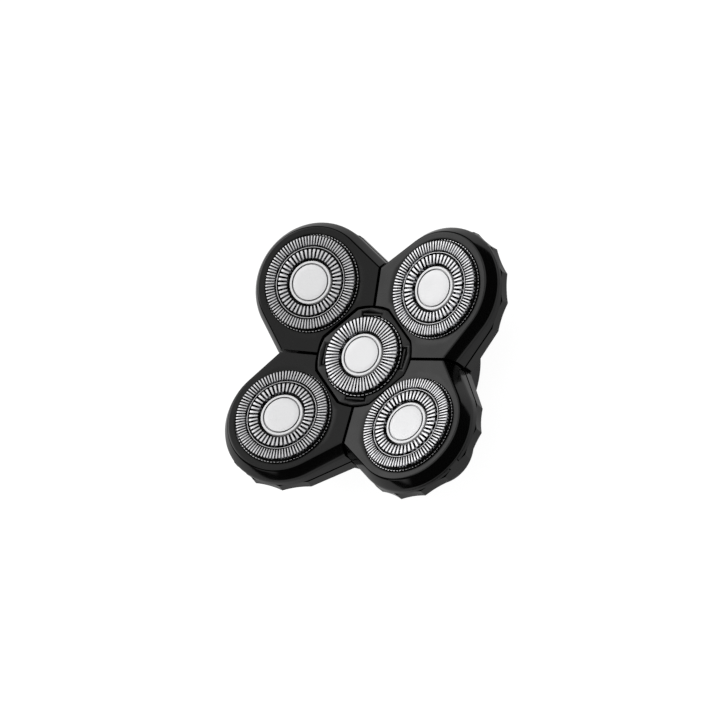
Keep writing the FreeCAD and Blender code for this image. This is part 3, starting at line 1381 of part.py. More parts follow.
document.recompute()
for item in document.Objects:
    broken = [word for word in ("Invalid", "Error") if word in item.State]
    if broken:
        raise RuntimeError(f"{item.Name}: {broken}")
os.makedirs("parts", exist_ok=True)
for item in nodes:
    shape = Part.getShape(item)
    solids = len(screw_places) if item is screws else 1
    if shape.isNull() or not shape.isValid() or len(shape.Solids) != solids:
        raise RuntimeError(f"{item.Label} is not valid")
    shape.exportStep(f"parts/{item.Label}.step")
print(len(nodes), "pieces")
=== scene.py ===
"""Looks of a rotary shaver head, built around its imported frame.

Lengths in the classes are millimetres.  A pod's own frame has its origin in the middle of
its cap disc, X outwards from the head's axis, Y along the head's rim and Z up the cutter's
spin axis.  Seat takes arrays of such points to metres in the row's frame.
"""
from __future__ import annotations

import json
import logging
import math
from dataclasses import dataclass, field
from enum import Enum, IntEnum
from typing import Any, Sequence

import bmesh
import bpy
import numpy as np
from mathutils import Matrix, Vector

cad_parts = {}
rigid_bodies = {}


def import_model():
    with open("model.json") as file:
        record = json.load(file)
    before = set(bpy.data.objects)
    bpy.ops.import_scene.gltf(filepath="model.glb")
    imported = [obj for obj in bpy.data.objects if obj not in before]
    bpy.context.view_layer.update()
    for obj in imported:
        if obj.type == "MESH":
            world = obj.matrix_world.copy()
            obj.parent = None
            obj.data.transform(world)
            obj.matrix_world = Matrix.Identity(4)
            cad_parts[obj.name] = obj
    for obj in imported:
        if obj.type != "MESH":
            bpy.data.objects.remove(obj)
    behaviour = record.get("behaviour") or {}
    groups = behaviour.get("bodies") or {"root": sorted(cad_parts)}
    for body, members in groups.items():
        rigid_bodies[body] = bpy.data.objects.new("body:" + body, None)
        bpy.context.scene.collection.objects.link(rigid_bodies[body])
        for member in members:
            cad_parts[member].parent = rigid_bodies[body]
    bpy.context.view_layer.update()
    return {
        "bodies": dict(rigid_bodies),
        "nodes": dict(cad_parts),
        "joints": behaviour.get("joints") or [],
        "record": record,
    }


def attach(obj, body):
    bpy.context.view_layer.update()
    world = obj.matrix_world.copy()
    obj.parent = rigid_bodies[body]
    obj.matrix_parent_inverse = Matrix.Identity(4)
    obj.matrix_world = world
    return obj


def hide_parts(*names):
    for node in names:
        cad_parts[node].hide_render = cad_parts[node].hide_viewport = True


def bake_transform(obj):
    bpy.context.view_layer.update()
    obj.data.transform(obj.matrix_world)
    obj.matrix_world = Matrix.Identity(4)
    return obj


LOG = logging.getLogger("shaver_head")
MM = 0.001
Array = np.ndarray
# Length that stands in for zero where a vector is divided by its length
TINY = 1e-9
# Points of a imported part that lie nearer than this, in metres, are one point
PART_MERGE = 1e-7
# UV map of the turned pieces: turns about the axis and distance from it in millimetres
AROUND = "around"

# Where the outer pods' cap discs lie: directions, distance from the axis, height and lean
OUTER_AZIMUTHS = (45.0, 135.0, 225.0, 315.0)
POD_CIRCLE = 24.0416
POD_HEIGHT = 25.2
POD_LEAN = 9.52
CENTRE_HEIGHT = 23.0


# Placing and meshing

@dataclass(frozen=True)
class Seat:
    """Where a pod's own frame sits in the row's frame."""

    azimuth: float
    radius: float = POD_CIRCLE
    height: float = POD_HEIGHT
    lean: float = POD_LEAN

    def place(self, points: Array) -> Array:
        """Take points from the pod's frame to the row's frame.

        Args:
            points: array (..., 3) in millimetres.
        Returns:
            The array in metres: leaned about Y, moved out, then turned about Z.
        """
        turn, lean = math.radians(self.azimuth), math.radians(self.lean)
        x, y, z = points[..., 0], points[..., 1], points[..., 2]
        out = self.radius + x * math.cos(lean) - z * math.sin(lean)
        up = self.height + x * math.sin(lean) + z * math.cos(lean)
        return np.stack([out * math.cos(turn) - y * math.sin(turn),
                         out * math.sin(turn) + y * math.cos(turn), up], axis=-1) * MM


@dataclass
class Surface:
    """A grid of points with what is needed to make it a mesh.

    Rows run along the profile and columns go round.  kept marks the cells that have a face,
    finish gives each cell's material, and uv is (turn, reach) at each point.
    """

    points: Array
    kept: Array | None = None
    finish: Array | None = None
    uv: Array | None = None
    wrap: bool = True
    wrap_rows: bool = False
    flip: bool = False

    def quads(self) -> Array:
        """Number the corners of every cell, counting the points row by row.

        Returns:
            Array (rows, columns, 4), anticlockwise as seen from outside.
        """
        rows, columns = self.points.shape[:2]
        row = np.arange(rows if self.wrap_rows else rows - 1)[:, None]
        column = np.arange(columns if self.wrap else columns - 1)[None, :]
        below, right = (row + 1) % rows, (column + 1) % columns
        corners = [row * columns + column, row * columns + right,
                   below * columns + right, below * columns + column]
        if self.flip:
            corners.reverse()
        return np.stack(np.broadcast_arrays(*corners), axis=-1)


def build_mesh(name: str, surfaces: Sequence[Surface], merge: float = 1e-6,
               sharp: float = 32.0) -> bpy.types.Object:
    """Make one object from grids.

    Args:
        name: the object's name.
        surfaces: grids whose points are in metres.
        merge: points nearer than this become one, which closes seams and poles.
        sharp: edges that bend more than this many degrees stay sharp.
    Returns:
        The object, linked to the scene.
    """
    vertices, faces, materials, coordinates = [], [], [], []
    start = 0
    for surface in surfaces:
        quads = surface.quads()
        kept = np.ones(quads.shape[:2], bool) if surface.kept is None else surface.kept
        finish = np.zeros(quads.shape[:2], int) if surface.finish is None else surface.finish
        chosen = quads[kept]
        vertices.append(surface.points.reshape(-1, 3))
        faces.append(chosen + start)
        materials.append(np.broadcast_to(finish, quads.shape[:2])[kept])
        uv = np.zeros(surface.points.shape[:2] + (2,)) if surface.uv is None else surface.uv
        coordinates.append(uv.reshape(-1, 2)[chosen])
        start += surface.points.shape[0] * surface.points.shape[1]
    points = np.concatenate(vertices)
    quads = np.concatenate(faces)
    used, renumbered = np.unique(quads, return_inverse=True)
    quads = renumbered.reshape(quads.shape)
    mesh = bpy.data.meshes.new(name)
    mesh.vertices.add(len(used))
    mesh.vertices.foreach_set("co", points[used].astype(np.float32).ravel())
    mesh.loops.add(quads.size)
    mesh.loops.foreach_set("vertex_index", quads.astype(np.int32).ravel())
    mesh.polygons.add(len(quads))
    mesh.polygons.foreach_set("loop_start", np.arange(0, quads.size, 4, dtype=np.int32))
    mesh.polygons.foreach_set("material_index", np.concatenate(materials).astype(np.int32))
    layer = mesh.uv_layers.new(name=AROUND)
    layer.uv.foreach_set("vector", np.concatenate(coordinates).astype(np.float32).ravel())
    mesh.update(calc_edges=True)
    mesh.validate()
    close_seams(mesh, merge)
    mesh.polygons.foreach_set("use_smooth", np.ones(len(mesh.polygons), bool))
    mesh.set_sharp_from_angle(angle=math.radians(sharp))
    item = bpy.data.objects.new(name, mesh)
    bpy.context.scene.collection.objects.link(item)
    return item


def close_seams(mesh: bpy.types.Mesh, distance: float) -> None:
    """Merge points that lie together and drop the faces that shrink to nothing.

    Args:
        mesh: the mesh, which is changed.
        distance: points nearer than this, in metres, become one.
    """
    work = bmesh.new()
    work.from_mesh(mesh)
    bmesh.ops.remove_doubles(work, verts=work.verts, dist=distance)
    bmesh.ops.dissolve_degenerate(work, edges=work.edges, dist=distance * 0.1)
    work.to_mesh(mesh)
    work.free()


def rounded_profile(corners: Sequence[tuple[float, float, float]], steps: int = 4) -> Array:
    """Round the corners of a section.

    Each corner (r, z, radius) becomes a short curve B(t) = (1-t)^2 a + 2t(1-t) p + t^2 b
    between the points a and b that lie radius away from the corner p along its two sides,
    or just under half a side away where the side is short.

    Args:
        corners: the section's corners (r, z, radius) in order.
        steps: points on each curve.
    Returns:
        Array (corners, steps, 2).
    """
    table = np.array(corners, float)
    place, radius = table[:, :2], table[:, 2:3]
    before = np.roll(place, 1, axis=0)
    after = np.roll(place, -1, axis=0)
    before[0], after[-1] = place[0], place[-1]
    back, ahead = before - place, after - place
    longest_share = 0.49
    back_length = np.maximum(np.linalg.norm(back, axis=1, keepdims=True), TINY)
    ahead_length = np.maximum(np.linalg.norm(ahead, axis=1, keepdims=True), TINY)
    start = place + back / back_length * np.minimum(radius, back_length * longest_share)
    end = place + ahead / ahead_length * np.minimum(radius, ahead_length * longest_share)
    t = np.linspace(0.0, 1.0, steps)[None, :, None]
    return ((1 - t) ** 2 * start[:, None] + 2 * t * (1 - t) * place[:, None]
            + t ** 2 * end[:, None])


def section_normals(section: Array) -> Array:
    """Normals of a section: its direction at each point, turned a quarter to the left.

    Args:
        section: points (n, 2) along the section.
    Returns:
        Unit vectors (n, 2).
    """
    step = np.gradient(section, axis=0)
    step = step / np.maximum(np.linalg.norm(step, axis=1, keepdims=True), TINY)
    return np.stack([-step[:, 1], step[:, 0]], axis=1)


# Finishes

def linear(code: str) -> tuple[float, float, float, float]:
    """Turn an sRGB hex colour into linear RGBA.

    Args:
        code: the colour as #rrggbb.
    Returns:
        Red, green, blue and an alpha of 1; each channel c is c / 12.92 up to 0.04045, and
        ((c + 0.055) / 1.055) ^ 2.4 above it.
    """
    channels = [int(code.lstrip("#")[i:i + 2], 16) / 255 for i in (0, 2, 4)]
    light = [c / 12.92 if c <= 0.04045 else ((c + 0.055) / 1.055) ** 2.4 for c in channels]
    return (light[0], light[1], light[2], 1.0)


def add_node(tree: bpy.types.NodeTree, kind: str, links: dict[str | int, Any] | None = None,
             values: dict[str | int, Any] | None = None, **settings: Any) -> bpy.types.Node:
    """Add a shader node.

    Args:
        tree: the node tree of the material, lamp or world.
        kind: the node's type name.
        links: input, by name or number, to the output socket that feeds it.
        values: input, by name or number, to a fixed value.
        settings: attributes of the node itself.
    Returns:
        The node.
    """
    node = tree.nodes.new(kind)
    for name, value in settings.items():
        setattr(node, name, value)
    for name, value in (values or {}).items():
        node.inputs[name].default_value = value
    for name, socket in (links or {}).items():
        tree.links.new(socket, node.inputs[name])
    return node


class Grain(Enum):
    """Fine relief of a surface: even pits all over, or the rings that a lathe tool leaves."""

    PITTED = "pitted"
    TURNED = "turned"


@dataclass(frozen=True)
class Finish:
    """A material with a colour, a gloss and a fine relief at a real scale.

    grain_mm is the spacing of the relief and relief its height in millimetres.
    uneven is how far the roughness strays either way over patches of patch_mm, and
    second_colour is what the colour strays to.
    """

    name: str
    colour: str
    roughness: float
    metallic: float = 0.0
    ior: float = 1.5
    grain: Grain = Grain.PITTED
    grain_mm: float = 0.2
    relief: float = 0.0
    uneven: float = 0.0
    patch_mm: float = 6.0
    second_colour: str | None = None

    def make(self) -> bpy.types.Material:
        """Build the material, or find it if it has been built.

        Returns:
            The material.
        """
        found = bpy.data.materials.get(self.name)
        if found is not None:
            return found
        material = bpy.data.materials.new(self.name)
        material.use_nodes = True
        tree = material.node_tree
        tree.nodes.clear()
        where = add_node(tree, "ShaderNodeTexCoord").outputs["Object"]
        shader = add_node(tree, "ShaderNodeBsdfPrincipled", values={
            "Base Color": linear(self.colour), "Roughness": self.roughness,
            "Metallic": self.metallic, "IOR": self.ior})
        add_node(tree, "ShaderNodeOutputMaterial", {"Surface": shader.outputs["BSDF"]})
        if self.uneven:
            self.vary(tree, where, shader)
        if self.relief:
            self.raise_grain(tree, where, shader)
        return material

    def vary(self, tree: bpy.types.NodeTree, where: bpy.types.NodeSocket,
             shader: bpy.types.Node) -> None:
        """Let roughness and colour stray over patches, as handling and moulding leave them.

        Args:
            tree: the material's node tree.
            where: the place on the piece, in metres.
            shader: the surface shader, whose inputs are fed.
        """
        patches = add_node(tree, "ShaderNodeTexNoise", {"Vector": where},
                           {"Scale": 1.0 / (self.patch_mm * MM), "Detail": 3.0})
        spread = add_node(tree, "ShaderNodeMapRange", {"Value": patches.outputs["Fac"]},
                          {"From Min": 0.3, "From Max": 0.7,
                           "To Min": max(self.roughness - self.uneven, 0.0),
                           "To Max": self.roughness + self.uneven})
        tree.links.new(spread.outputs["Result"], shader.inputs["Roughness"])
        if self.second_colour:
            ramp = add_node(tree, "ShaderNodeValToRGB", {"Fac": patches.outputs["Fac"]})
            stops = ((0.35, self.colour), (0.65, self.second_colour))
            for element, (position, colour) in zip(ramp.color_ramp.elements, stops):
                element.position = position
                element.color = linear(colour)
            tree.links.new(ramp.outputs["Color"], shader.inputs["Base Color"])

    def raise_grain(self, tree: bpy.types.NodeTree, where: bpy.types.NodeSocket,
                    shader: bpy.types.Node) -> None:
        """Add the relief: noise over the piece, or over the distance from the axis alone.

        Args:
            tree: the material's node tree.
            where: the place on the piece, in metres.
            shader: the surface shader, whose normal is fed.
        """
        if self.grain is Grain.TURNED:
            place = add_node(tree, "ShaderNodeUVMap", uv_map=AROUND).outputs["UV"]
            reach = add_node(tree, "ShaderNodeSeparateXYZ", {"Vector": place}).outputs["Y"]
            across = add_node(tree, "ShaderNodeCombineXYZ", {"X": reach}).outputs["Vector"]
            height = add_node(tree, "ShaderNodeTexNoise", {"Vector": across},
                              {"Scale": 1.0 / self.grain_mm, "Detail": 2.0}).outputs["Fac"]
        else:
            height = add_node(tree, "ShaderNodeTexNoise", {"Vector": where},
                              {"Scale": 1.0 / (self.grain_mm * MM), "Detail": 2.0,
                               "Roughness": 0.6}).outputs["Fac"]
        bump = add_node(tree, "ShaderNodeBump", {"Height": height},
                        {"Strength": 1.0, "Distance": self.relief * MM})
        tree.links.new(bump.outputs["Normal"], shader.inputs["Normal"])


# Sparked pits, tumbling marks and grinding lines are 0.02 to 0.05 mm apart on the real
# parts.  That is too fine to show in the render, so they are drawn 0.1 to 0.3 mm apart, and
# the turning rings of the discs 0.05 to 0.1 mm.

# Black ABS from a spark-eroded mould: dark, with a soft sheen that blurs what it reflects
SATIN_ABS = Finish("satin_black_abs", "#060606", 0.27, ior=1.45, grain_mm=0.18, relief=0.0012,
                   uneven=0.04)
# The same ABS from a polished mould: a clear dark mirror with a faint moulding wave
POLISHED_ABS = Finish("polished_black_abs", "#020202", 0.1, ior=1.6, grain_mm=2.5,
                      relief=0.0012, uneven=0.02)
# The same ABS below the bevel, where the mould is lapped but not polished
LAPPED_ABS = Finish("lapped_black_abs", "#0a0a0b", 0.17, ior=1.45, grain_mm=1.2, relief=0.001,
                    uneven=0.03)
# Tumbled stainless steel of the caps: bright, with softened reflections
PRESSED_STEEL = Finish("tumbled_stainless_steel", "#f2f2f4", 0.34, metallic=0.65, uneven=0.05,
                       grain_mm=0.3, relief=0.0006, patch_mm=1.5, second_colour="#e6e6e8")
# The cap's steel painted near black where shade falls: painted shade in the well, grooves,
# shoulder, skirt and slots' walls
PAINTED_SHADE_STEEL = Finish("painted_shade_black_steel", "#060606", 0.5, ior=1.35, uneven=0.06,
                      grain_mm=0.3, relief=0.0008, patch_mm=1.5)
# Steel faced on a lathe and lacquered silver: an even pale grey with faint turning rings
SILVER_LACQUER = Finish("silver_lacquered_steel", "#f0f0f1", 0.5, metallic=0.25,
                        grain=Grain.TURNED, grain_mm=0.05, relief=0.0008, uneven=0.04,
                        patch_mm=3.0)
# Darker steel in the disc's ring groove, painted shade of the groove: darker than the lacquer
# beside it
GROOVE_SHADE_STEEL = Finish("painted_groove_shade_steel", "#a2a2a4", 0.35, metallic=1.0, uneven=0.04,
                      grain_mm=0.1, relief=0.0008, patch_mm=1.0)
# Ground tool steel of the blades, pins and screws: grey, with short sharp glints
GROUND_STEEL = Finish("ground_tool_steel", "#6f7074", 0.28, metallic=1.0, grain_mm=0.1,
                      relief=0.0008, uneven=0.05, patch_mm=1.0)
# Acetal of the gears and spindles: off-white and waxy
ACETAL = Finish("natural_acetal", "#dcd8cc", 0.38, ior=1.48, grain_mm=0.3, relief=0.002,
                uneven=0.05, second_colour="#d5d0c2")
# Grey acetal of the cutter carriers: mid-grey and waxy
GREY_ACETAL = Finish("grey_acetal", "#4a4a4c", 0.4, ior=1.48, grain_mm=0.3, relief=0.002,
                     uneven=0.05)
# Black acetal of the retainers: near black, duller than the shells
BLACK_ACETAL = Finish("black_acetal", "#1b1b1c", 0.42, ior=1.48, grain_mm=0.3, relief=0.002,
                      uneven=0.05)
# Glass-filled nylon of the gearbox: matt black, slightly mottled
GEARBOX_NYLON = Finish("glass_filled_black_nylon", "#1a1a1b", 0.5, ior=1.53, grain_mm=0.25,
                       relief=0.004, uneven=0.07, second_colour="#202021")
# Drawn spring wire: a bright clean metal line
SPRING_WIRE = Finish("drawn_spring_wire", "#a5a6a8", 0.25, metallic=1.0, uneven=0.05,
                     grain_mm=0.2, relief=0.0008, patch_mm=1.0)
# Nitrile rubber of the neck's seal: dull black that takes no clear reflection
NITRILE = Finish("nitrile_rubber", "#121212", 0.62, ior=1.52, grain_mm=0.3, relief=0.004,
                 uneven=0.06)


# Slotted caps

class Slots(Enum):
    """Which row of slots a stretch of a cap's section belongs to."""

    NONE = 0
    INNER = 1
    OUTER = 2


@dataclass(frozen=True)
class CapCorner:
    """A corner of a cap's section; its slots and its finish hold up to the next corner. Where
    recessed is set, that stretch takes black steel as painted shade.
    """

    reach: float
    height: float
    rounding: float = 0.0
    slots: Slots = Slots.NONE
    shade_painted: bool = False


# Sections of the two caps, from beside the disc's stem out to the skirt's foot
OUTER_CAP_SECTION = (
    # Well round the disc in painted shade, down to which the inner slots reach
    CapCorner(1.30, -1.20, shade_painted=True), CapCorner(6.05, -1.20, 0.10, shade_painted=True),
    CapCorner(6.05, -0.85, slots=Slots.INNER, shade_painted=True),
    # Inner track, its side walls in painted shade
    CapCorner(6.05, 0.30, 0.10, Slots.INNER), CapCorner(8.25, 0.30, 0.10, Slots.INNER, True),
    # Groove, land and groove; the grooves in painted shade, the land's top bare
    CapCorner(8.25, -0.85, shade_painted=True), CapCorner(8.25, -1.00, 0.06, shade_painted=True),
    CapCorner(8.75, -1.00, 0.06, shade_painted=True), CapCorner(8.75, 0.00, 0.04),
    CapCorner(8.89, 0.00, 0.04, shade_painted=True), CapCorner(8.89, -1.00, 0.06, shade_painted=True),
    CapCorner(9.30, -1.00, 0.06, shade_painted=True),
    # Outer track, its side walls in painted shade
    CapCorner(9.30, -0.85, slots=Slots.OUTER, shade_painted=True),
    CapCorner(9.30, 0.30, 0.10, Slots.OUTER), CapCorner(11.52, 0.30, 0.14, Slots.OUTER, True),
    # Shoulder and skirt in painted shade, and between them the ledge whose bright bits show
    # between the slots' feet
    CapCorner(11.86, -0.04, shade_painted=True), CapCorner(11.92, -0.16, 0.06, shade_painted=True),
    CapCorner(12.00, -0.93, slots=Slots.OUTER),
    CapCorner(12.15, -0.95, shade_painted=True), CapCorner(12.15, -3.60, shade_painted=True))

CENTRE_CAP_SECTION = (
    # Well round the disc in painted shade, then the one track with its walls in painted shade
    CapCorner(1.30, -1.20, shade_painted=True), CapCorner(6.05, -1.20, 0.10, shade_painted=True),
    CapCorner(6.05, -0.85, slots=Slots.OUTER, shade_painted=True),
    CapCorner(6.05, 0.30, 0.10, Slots.OUTER), CapCorner(9.48, 0.30, 0.14, Slots.OUTER, True),
    # Shoulder and skirt in painted shade, and the ledge between them
    CapCorner(9.82, -0.04, shade_painted=True), CapCorner(9.90, -0.16, 0.06, shade_painted=True),
    CapCorner(10.00, -0.93, slots=Slots.OUTER),
    CapCorner(10.15, -0.95, shade_painted=True), CapCorner(10.15, -3.60, shade_painted=True))


@dataclass(frozen=True)
class SlotRow:
    """A row of parallel-sided slots cut radially into a track.

    edge is the width of the strip along a slot that bends down into it.
    """

    count: int
    width: float
    edge: float = 0.05
    largest_sine: float = 0.99

    def angles(self, reach: Array, spaces: int) -> Array:
        """Angles of the columns at each reach from the cap's axis.

        A slot of width w is bounded at asin(w / 2r) either side of its middle.  The land
        to the next slot has a narrow strip along each edge and an even split between.

        Args:
            reach: distances r, one per row.
            spaces: columns for each slot and the land beside it.
        Returns:
            Array (rows, count * spaces) in radians.
        """
        pitch = 2 * math.pi / self.count
        half = np.arcsin(np.clip(self.width / 2 / reach, 0, self.largest_sine))[:, None]
        strip = np.minimum(self.edge / reach[:, None], pitch / 8)
        split = np.linspace(0.0, 1.0, spaces - 2)[1:-1][None, :]
        low, high = half + strip, pitch - half - strip
        offsets = np.concatenate([-half, half, low, low + (high - low) * split, high], axis=1)
        middles = np.arange(self.count)[None, :, None] * pitch
        return (middles + offsets[:, None, :]).reshape(len(reach), -1)

    def first(self, spaces: int, columns: int) -> Array:
        """Mask of the first columns of every slot's share of columns."""
        return np.tile(np.arange(spaces) < columns, self.count)


@dataclass(frozen=True)
class SlottedCap:
    """Pressed steel cap with slotted tracks for the blades.

    steps is the points on each rounding, spaces the columns for each slot and its land, and
    track_split the reach at which the inner row's columns give way to the outer row's.
    """

    section: tuple[CapCorner, ...]
    outer: SlotRow
    inner: SlotRow | None = None
    plate: float = 0.06
    edge_drop: float = 0.035
    steps: int = 3
    spaces: int = 4
    track_split: float = 8.8

    def rows(self) -> tuple[Array, Array, Array]:
        """Round the section, and give each stretch of it its slots and its finish.

        A rounding belongs to the slots of both its corners only where they agree, and takes the
        black steel of painted shade only where both corners do.

        Returns:
            Points (n, 2), and slot rows and finishes (n - 1,) as whole numbers.
        """
        table = [(corner.reach, corner.height, corner.rounding) for corner in self.section]
        points = rounded_profile(table, self.steps)
        step = np.arange(self.steps)[None, :]
        rounded = np.array([corner.rounding > 0 for corner in self.section])[:, None]
        used = rounded | (step == 0)
        last = np.where(rounded, step == self.steps - 1, True)[used]
        zone = np.array([corner.slots.value for corner in self.section])
        # 1 where a stretch takes the black steel of painted shade
        dark = np.array([int(corner.shade_painted) for corner in self.section])
        owner = np.broadcast_to(np.arange(len(zone))[:, None], used.shape)[used]
        before = np.maximum(owner - 1, 0)
        slots = np.where(last, zone[owner], np.where(zone[owner] == zone[before], zone[owner],
                                                    Slots.NONE.value))
        finish = np.where(last, dark[owner], np.minimum(dark[owner], dark[before]))
        return points[used], slots[:-1], finish[:-1]

    def build(self, name: str, seat: Seat) -> bpy.types.Object:
        """Make the cap.

        The point at row i and column j is the section's point (r, z) turned by the angle
        that column has at reach r; along a slot's edge it is sunk by edge_drop against the
        section's normal, which rounds the edge.

        Args:
            name: the object's name.
            seat: where the cap's disc sits.
        Returns:
            The cap; its plate's thickness, and the slots' walls, take the black steel of painted
            shade.
        """
        rows, slots, finish = self.rows()
        normals = section_normals(rows)
        angles = self.outer.angles(rows[:, 0], self.spaces)
        open_cells, sunk = self.cut(slots == Slots.OUTER.value, self.outer, self.spaces)
        if self.inner is not None:
            spaces = self.spaces * self.outer.count // self.inner.count
            inside = rows[:, :1] < self.track_split
            angles = np.where(inside, self.inner.angles(rows[:, 0], spaces), angles)
            cut = self.cut(slots == Slots.INNER.value, self.inner, spaces)
            open_cells, sunk = open_cells | cut[0], sunk | cut[1]
        drop = np.where(sunk, self.edge_drop, 0.0)
        reach = rows[:, :1] - normals[:, :1] * drop
        height = rows[:, 1:] - normals[:, 1:] * drop
        points = np.stack([reach * np.cos(angles), reach * np.sin(angles), height], axis=-1)
        uv = np.stack([angles / (2 * math.pi), reach], axis=-1)
        cap = build_mesh(name, [Surface(seat.place(points), kept=~open_cells, uv=uv, flip=True,
                                        finish=finish[:, None])])
        wall = cap.modifiers.new("plate", "SOLIDIFY")
        wall.thickness = self.plate * MM
        wall.offset = -1.0
        # The plate's underside and cut edges, the slots' walls among them, take the black steel
        # of painted shade
        wall.material_offset = 1
        wall.material_offset_rim = 1
        return cap

    def cut(self, zone: Array, row: SlotRow, spaces: int) -> tuple[Array, Array]:
        """Find the cells that a row of slots opens, and the points along its edges.

        Args:
            zone: mask of the section's stretches that the slots cross.
            row: the row of slots.
            spaces: columns for each slot and its land.
        Returns:
            Masks (rows - 1, columns) of the open cells and (rows, columns) of the points.
        """
        touched = np.zeros(len(zone) + 1, bool)
        touched[:-1] |= zone
        touched[1:] |= zone
        return (zone[:, None] & row.first(spaces, 1)[None, :],
                touched[:, None] & row.first(spaces, 2)[None, :])


@dataclass(frozen=True)
class CapDisc:
    """Steel disc in a cap's well: a face with a turned ring, a bevelled rim and a stem."""

    radius: float = 5.36
    rim_width: float = 0.10
    rim_drop: float = 0.10
    rim_rounding: float = 0.05
    ring_inside: float = 4.40
    ring_outside: float = 4.78
    ring_slope: float = 0.06
    ring_depth: float = 0.36
    ring_rounding: float = 0.03
    face_split: float = 3.0
    underside: float = -1.19
    stem_radius: float = 1.2
    stem_foot: float = -1.3
    columns: int = 144
    steps: int = 3

    def build(self, name: str, seat: Seat) -> bpy.types.Object:
        """Make the disc by turning its section (r, z) about the cap's axis.

        The point at row i and column j is (r cos a, r sin a, z) with a = 2 pi j / columns.

        Args:
            name: the object's name.
            seat: where the disc sits.
        Returns:
            The disc, with the darker steel of painted shade in its ring groove.
        """
        soft = self.ring_rounding
        rows = rounded_profile([
            (0.0, 0.0, 0.0), (self.face_split, 0.0, 0.0), (self.ring_inside, 0.0, soft),
            (self.ring_inside + self.ring_slope, -self.ring_depth, soft),
            (self.ring_outside - self.ring_slope, -self.ring_depth, soft),
            (self.ring_outside, 0.0, soft),
            (self.radius - self.rim_width, 0.0, self.rim_rounding),
            (self.radius, -self.rim_drop, self.rim_rounding), (self.radius, self.underside, 0.0),
            (self.stem_radius, self.underside, 0.0), (self.stem_radius, self.stem_foot, 0.0),
            (0.0, self.stem_foot, 0.0)], self.steps).reshape(-1, 2)
        angles = np.linspace(0, 2 * math.pi, self.columns, endpoint=False)[None, :]
        reach, height = rows[:, :1], rows[:, 1:]
        points = np.stack([reach * np.cos(angles), reach * np.sin(angles),
                           np.broadcast_to(height, (len(rows), self.columns))], axis=-1)
        turn = np.broadcast_to(angles / (2 * math.pi), points.shape[:2])
        uv = np.stack([turn, np.broadcast_to(reach, points.shape[:2])], axis=-1)
        # Cells of the ring groove, which take the darker steel of painted shade
        ring = ((reach[:-1, 0] > self.ring_inside) & (reach[:-1, 0] < self.ring_outside - soft)
                & (height[1:, 0] < -soft / 2))
        return build_mesh(name, [Surface(seat.place(points), uv=uv, flip=True,
                                         finish=ring.astype(int)[:, None])])


@dataclass(frozen=True)
class BayonetTabs:
    """Tabs that fill the four notches in the centre pod's face nearly to its surface.

    rows gives, from the middle of the top to the middle of the underside, how wide and how
    long the tab is as shares of its plan, and how far the row lies below the tab's top.
    """

    inside: float = 10.48
    outside: float = 10.92
    half_width: float = 2.46
    top: float = -1.25
    height: float = 1.05
    rounding: float = 0.12
    corner_points: int = 6
    count: int = 4
    rows: tuple[tuple[float, float, float], ...] = (
        (0.0, 0.0, 0.0), (0.88, 0.982, 0.0), (0.97, 0.9955, 0.03), (1.0, 1.0, 0.12))

    def build(self, name: str, seat: Seat) -> bpy.types.Object:
        """Make the tabs: each row is the plan, a rounded rectangle, shrunk about its middle.

        Args:
            name: the object's name.
            seat: where the centre pod's disc sits.
        Returns:
            The four tabs as one object.
        """
        corners = ((self.inside, -self.half_width), (self.outside, -self.half_width),
                   (self.outside, self.half_width), (self.inside, self.half_width))
        plan = rounded_profile([corner + (self.rounding,) for corner in corners],
                               self.corner_points).reshape(-1, 2)
        middle = plan.mean(axis=0)
        table = np.array(self.rows + ((1.0, 1.0, self.height), (0.0, 0.0, self.height)))
        flat = middle + (plan - middle)[None] * table[:, None, :2]
        level = np.broadcast_to(self.top - table[:, None, 2:], flat.shape[:2] + (1,))
        points = np.concatenate([flat, level], axis=-1)
        tabs = []
        for number in range(self.count):
            angle = 2 * math.pi * (number + 0.5) / self.count
            turn = np.array([[math.cos(angle), math.sin(angle), 0],
                             [-math.sin(angle), math.cos(angle), 0], [0, 0, 1]])
            tabs.append(Surface(seat.place(points @ turn), flip=True))
        return build_mesh(name, tabs)


# Moulded covers of the outer pods

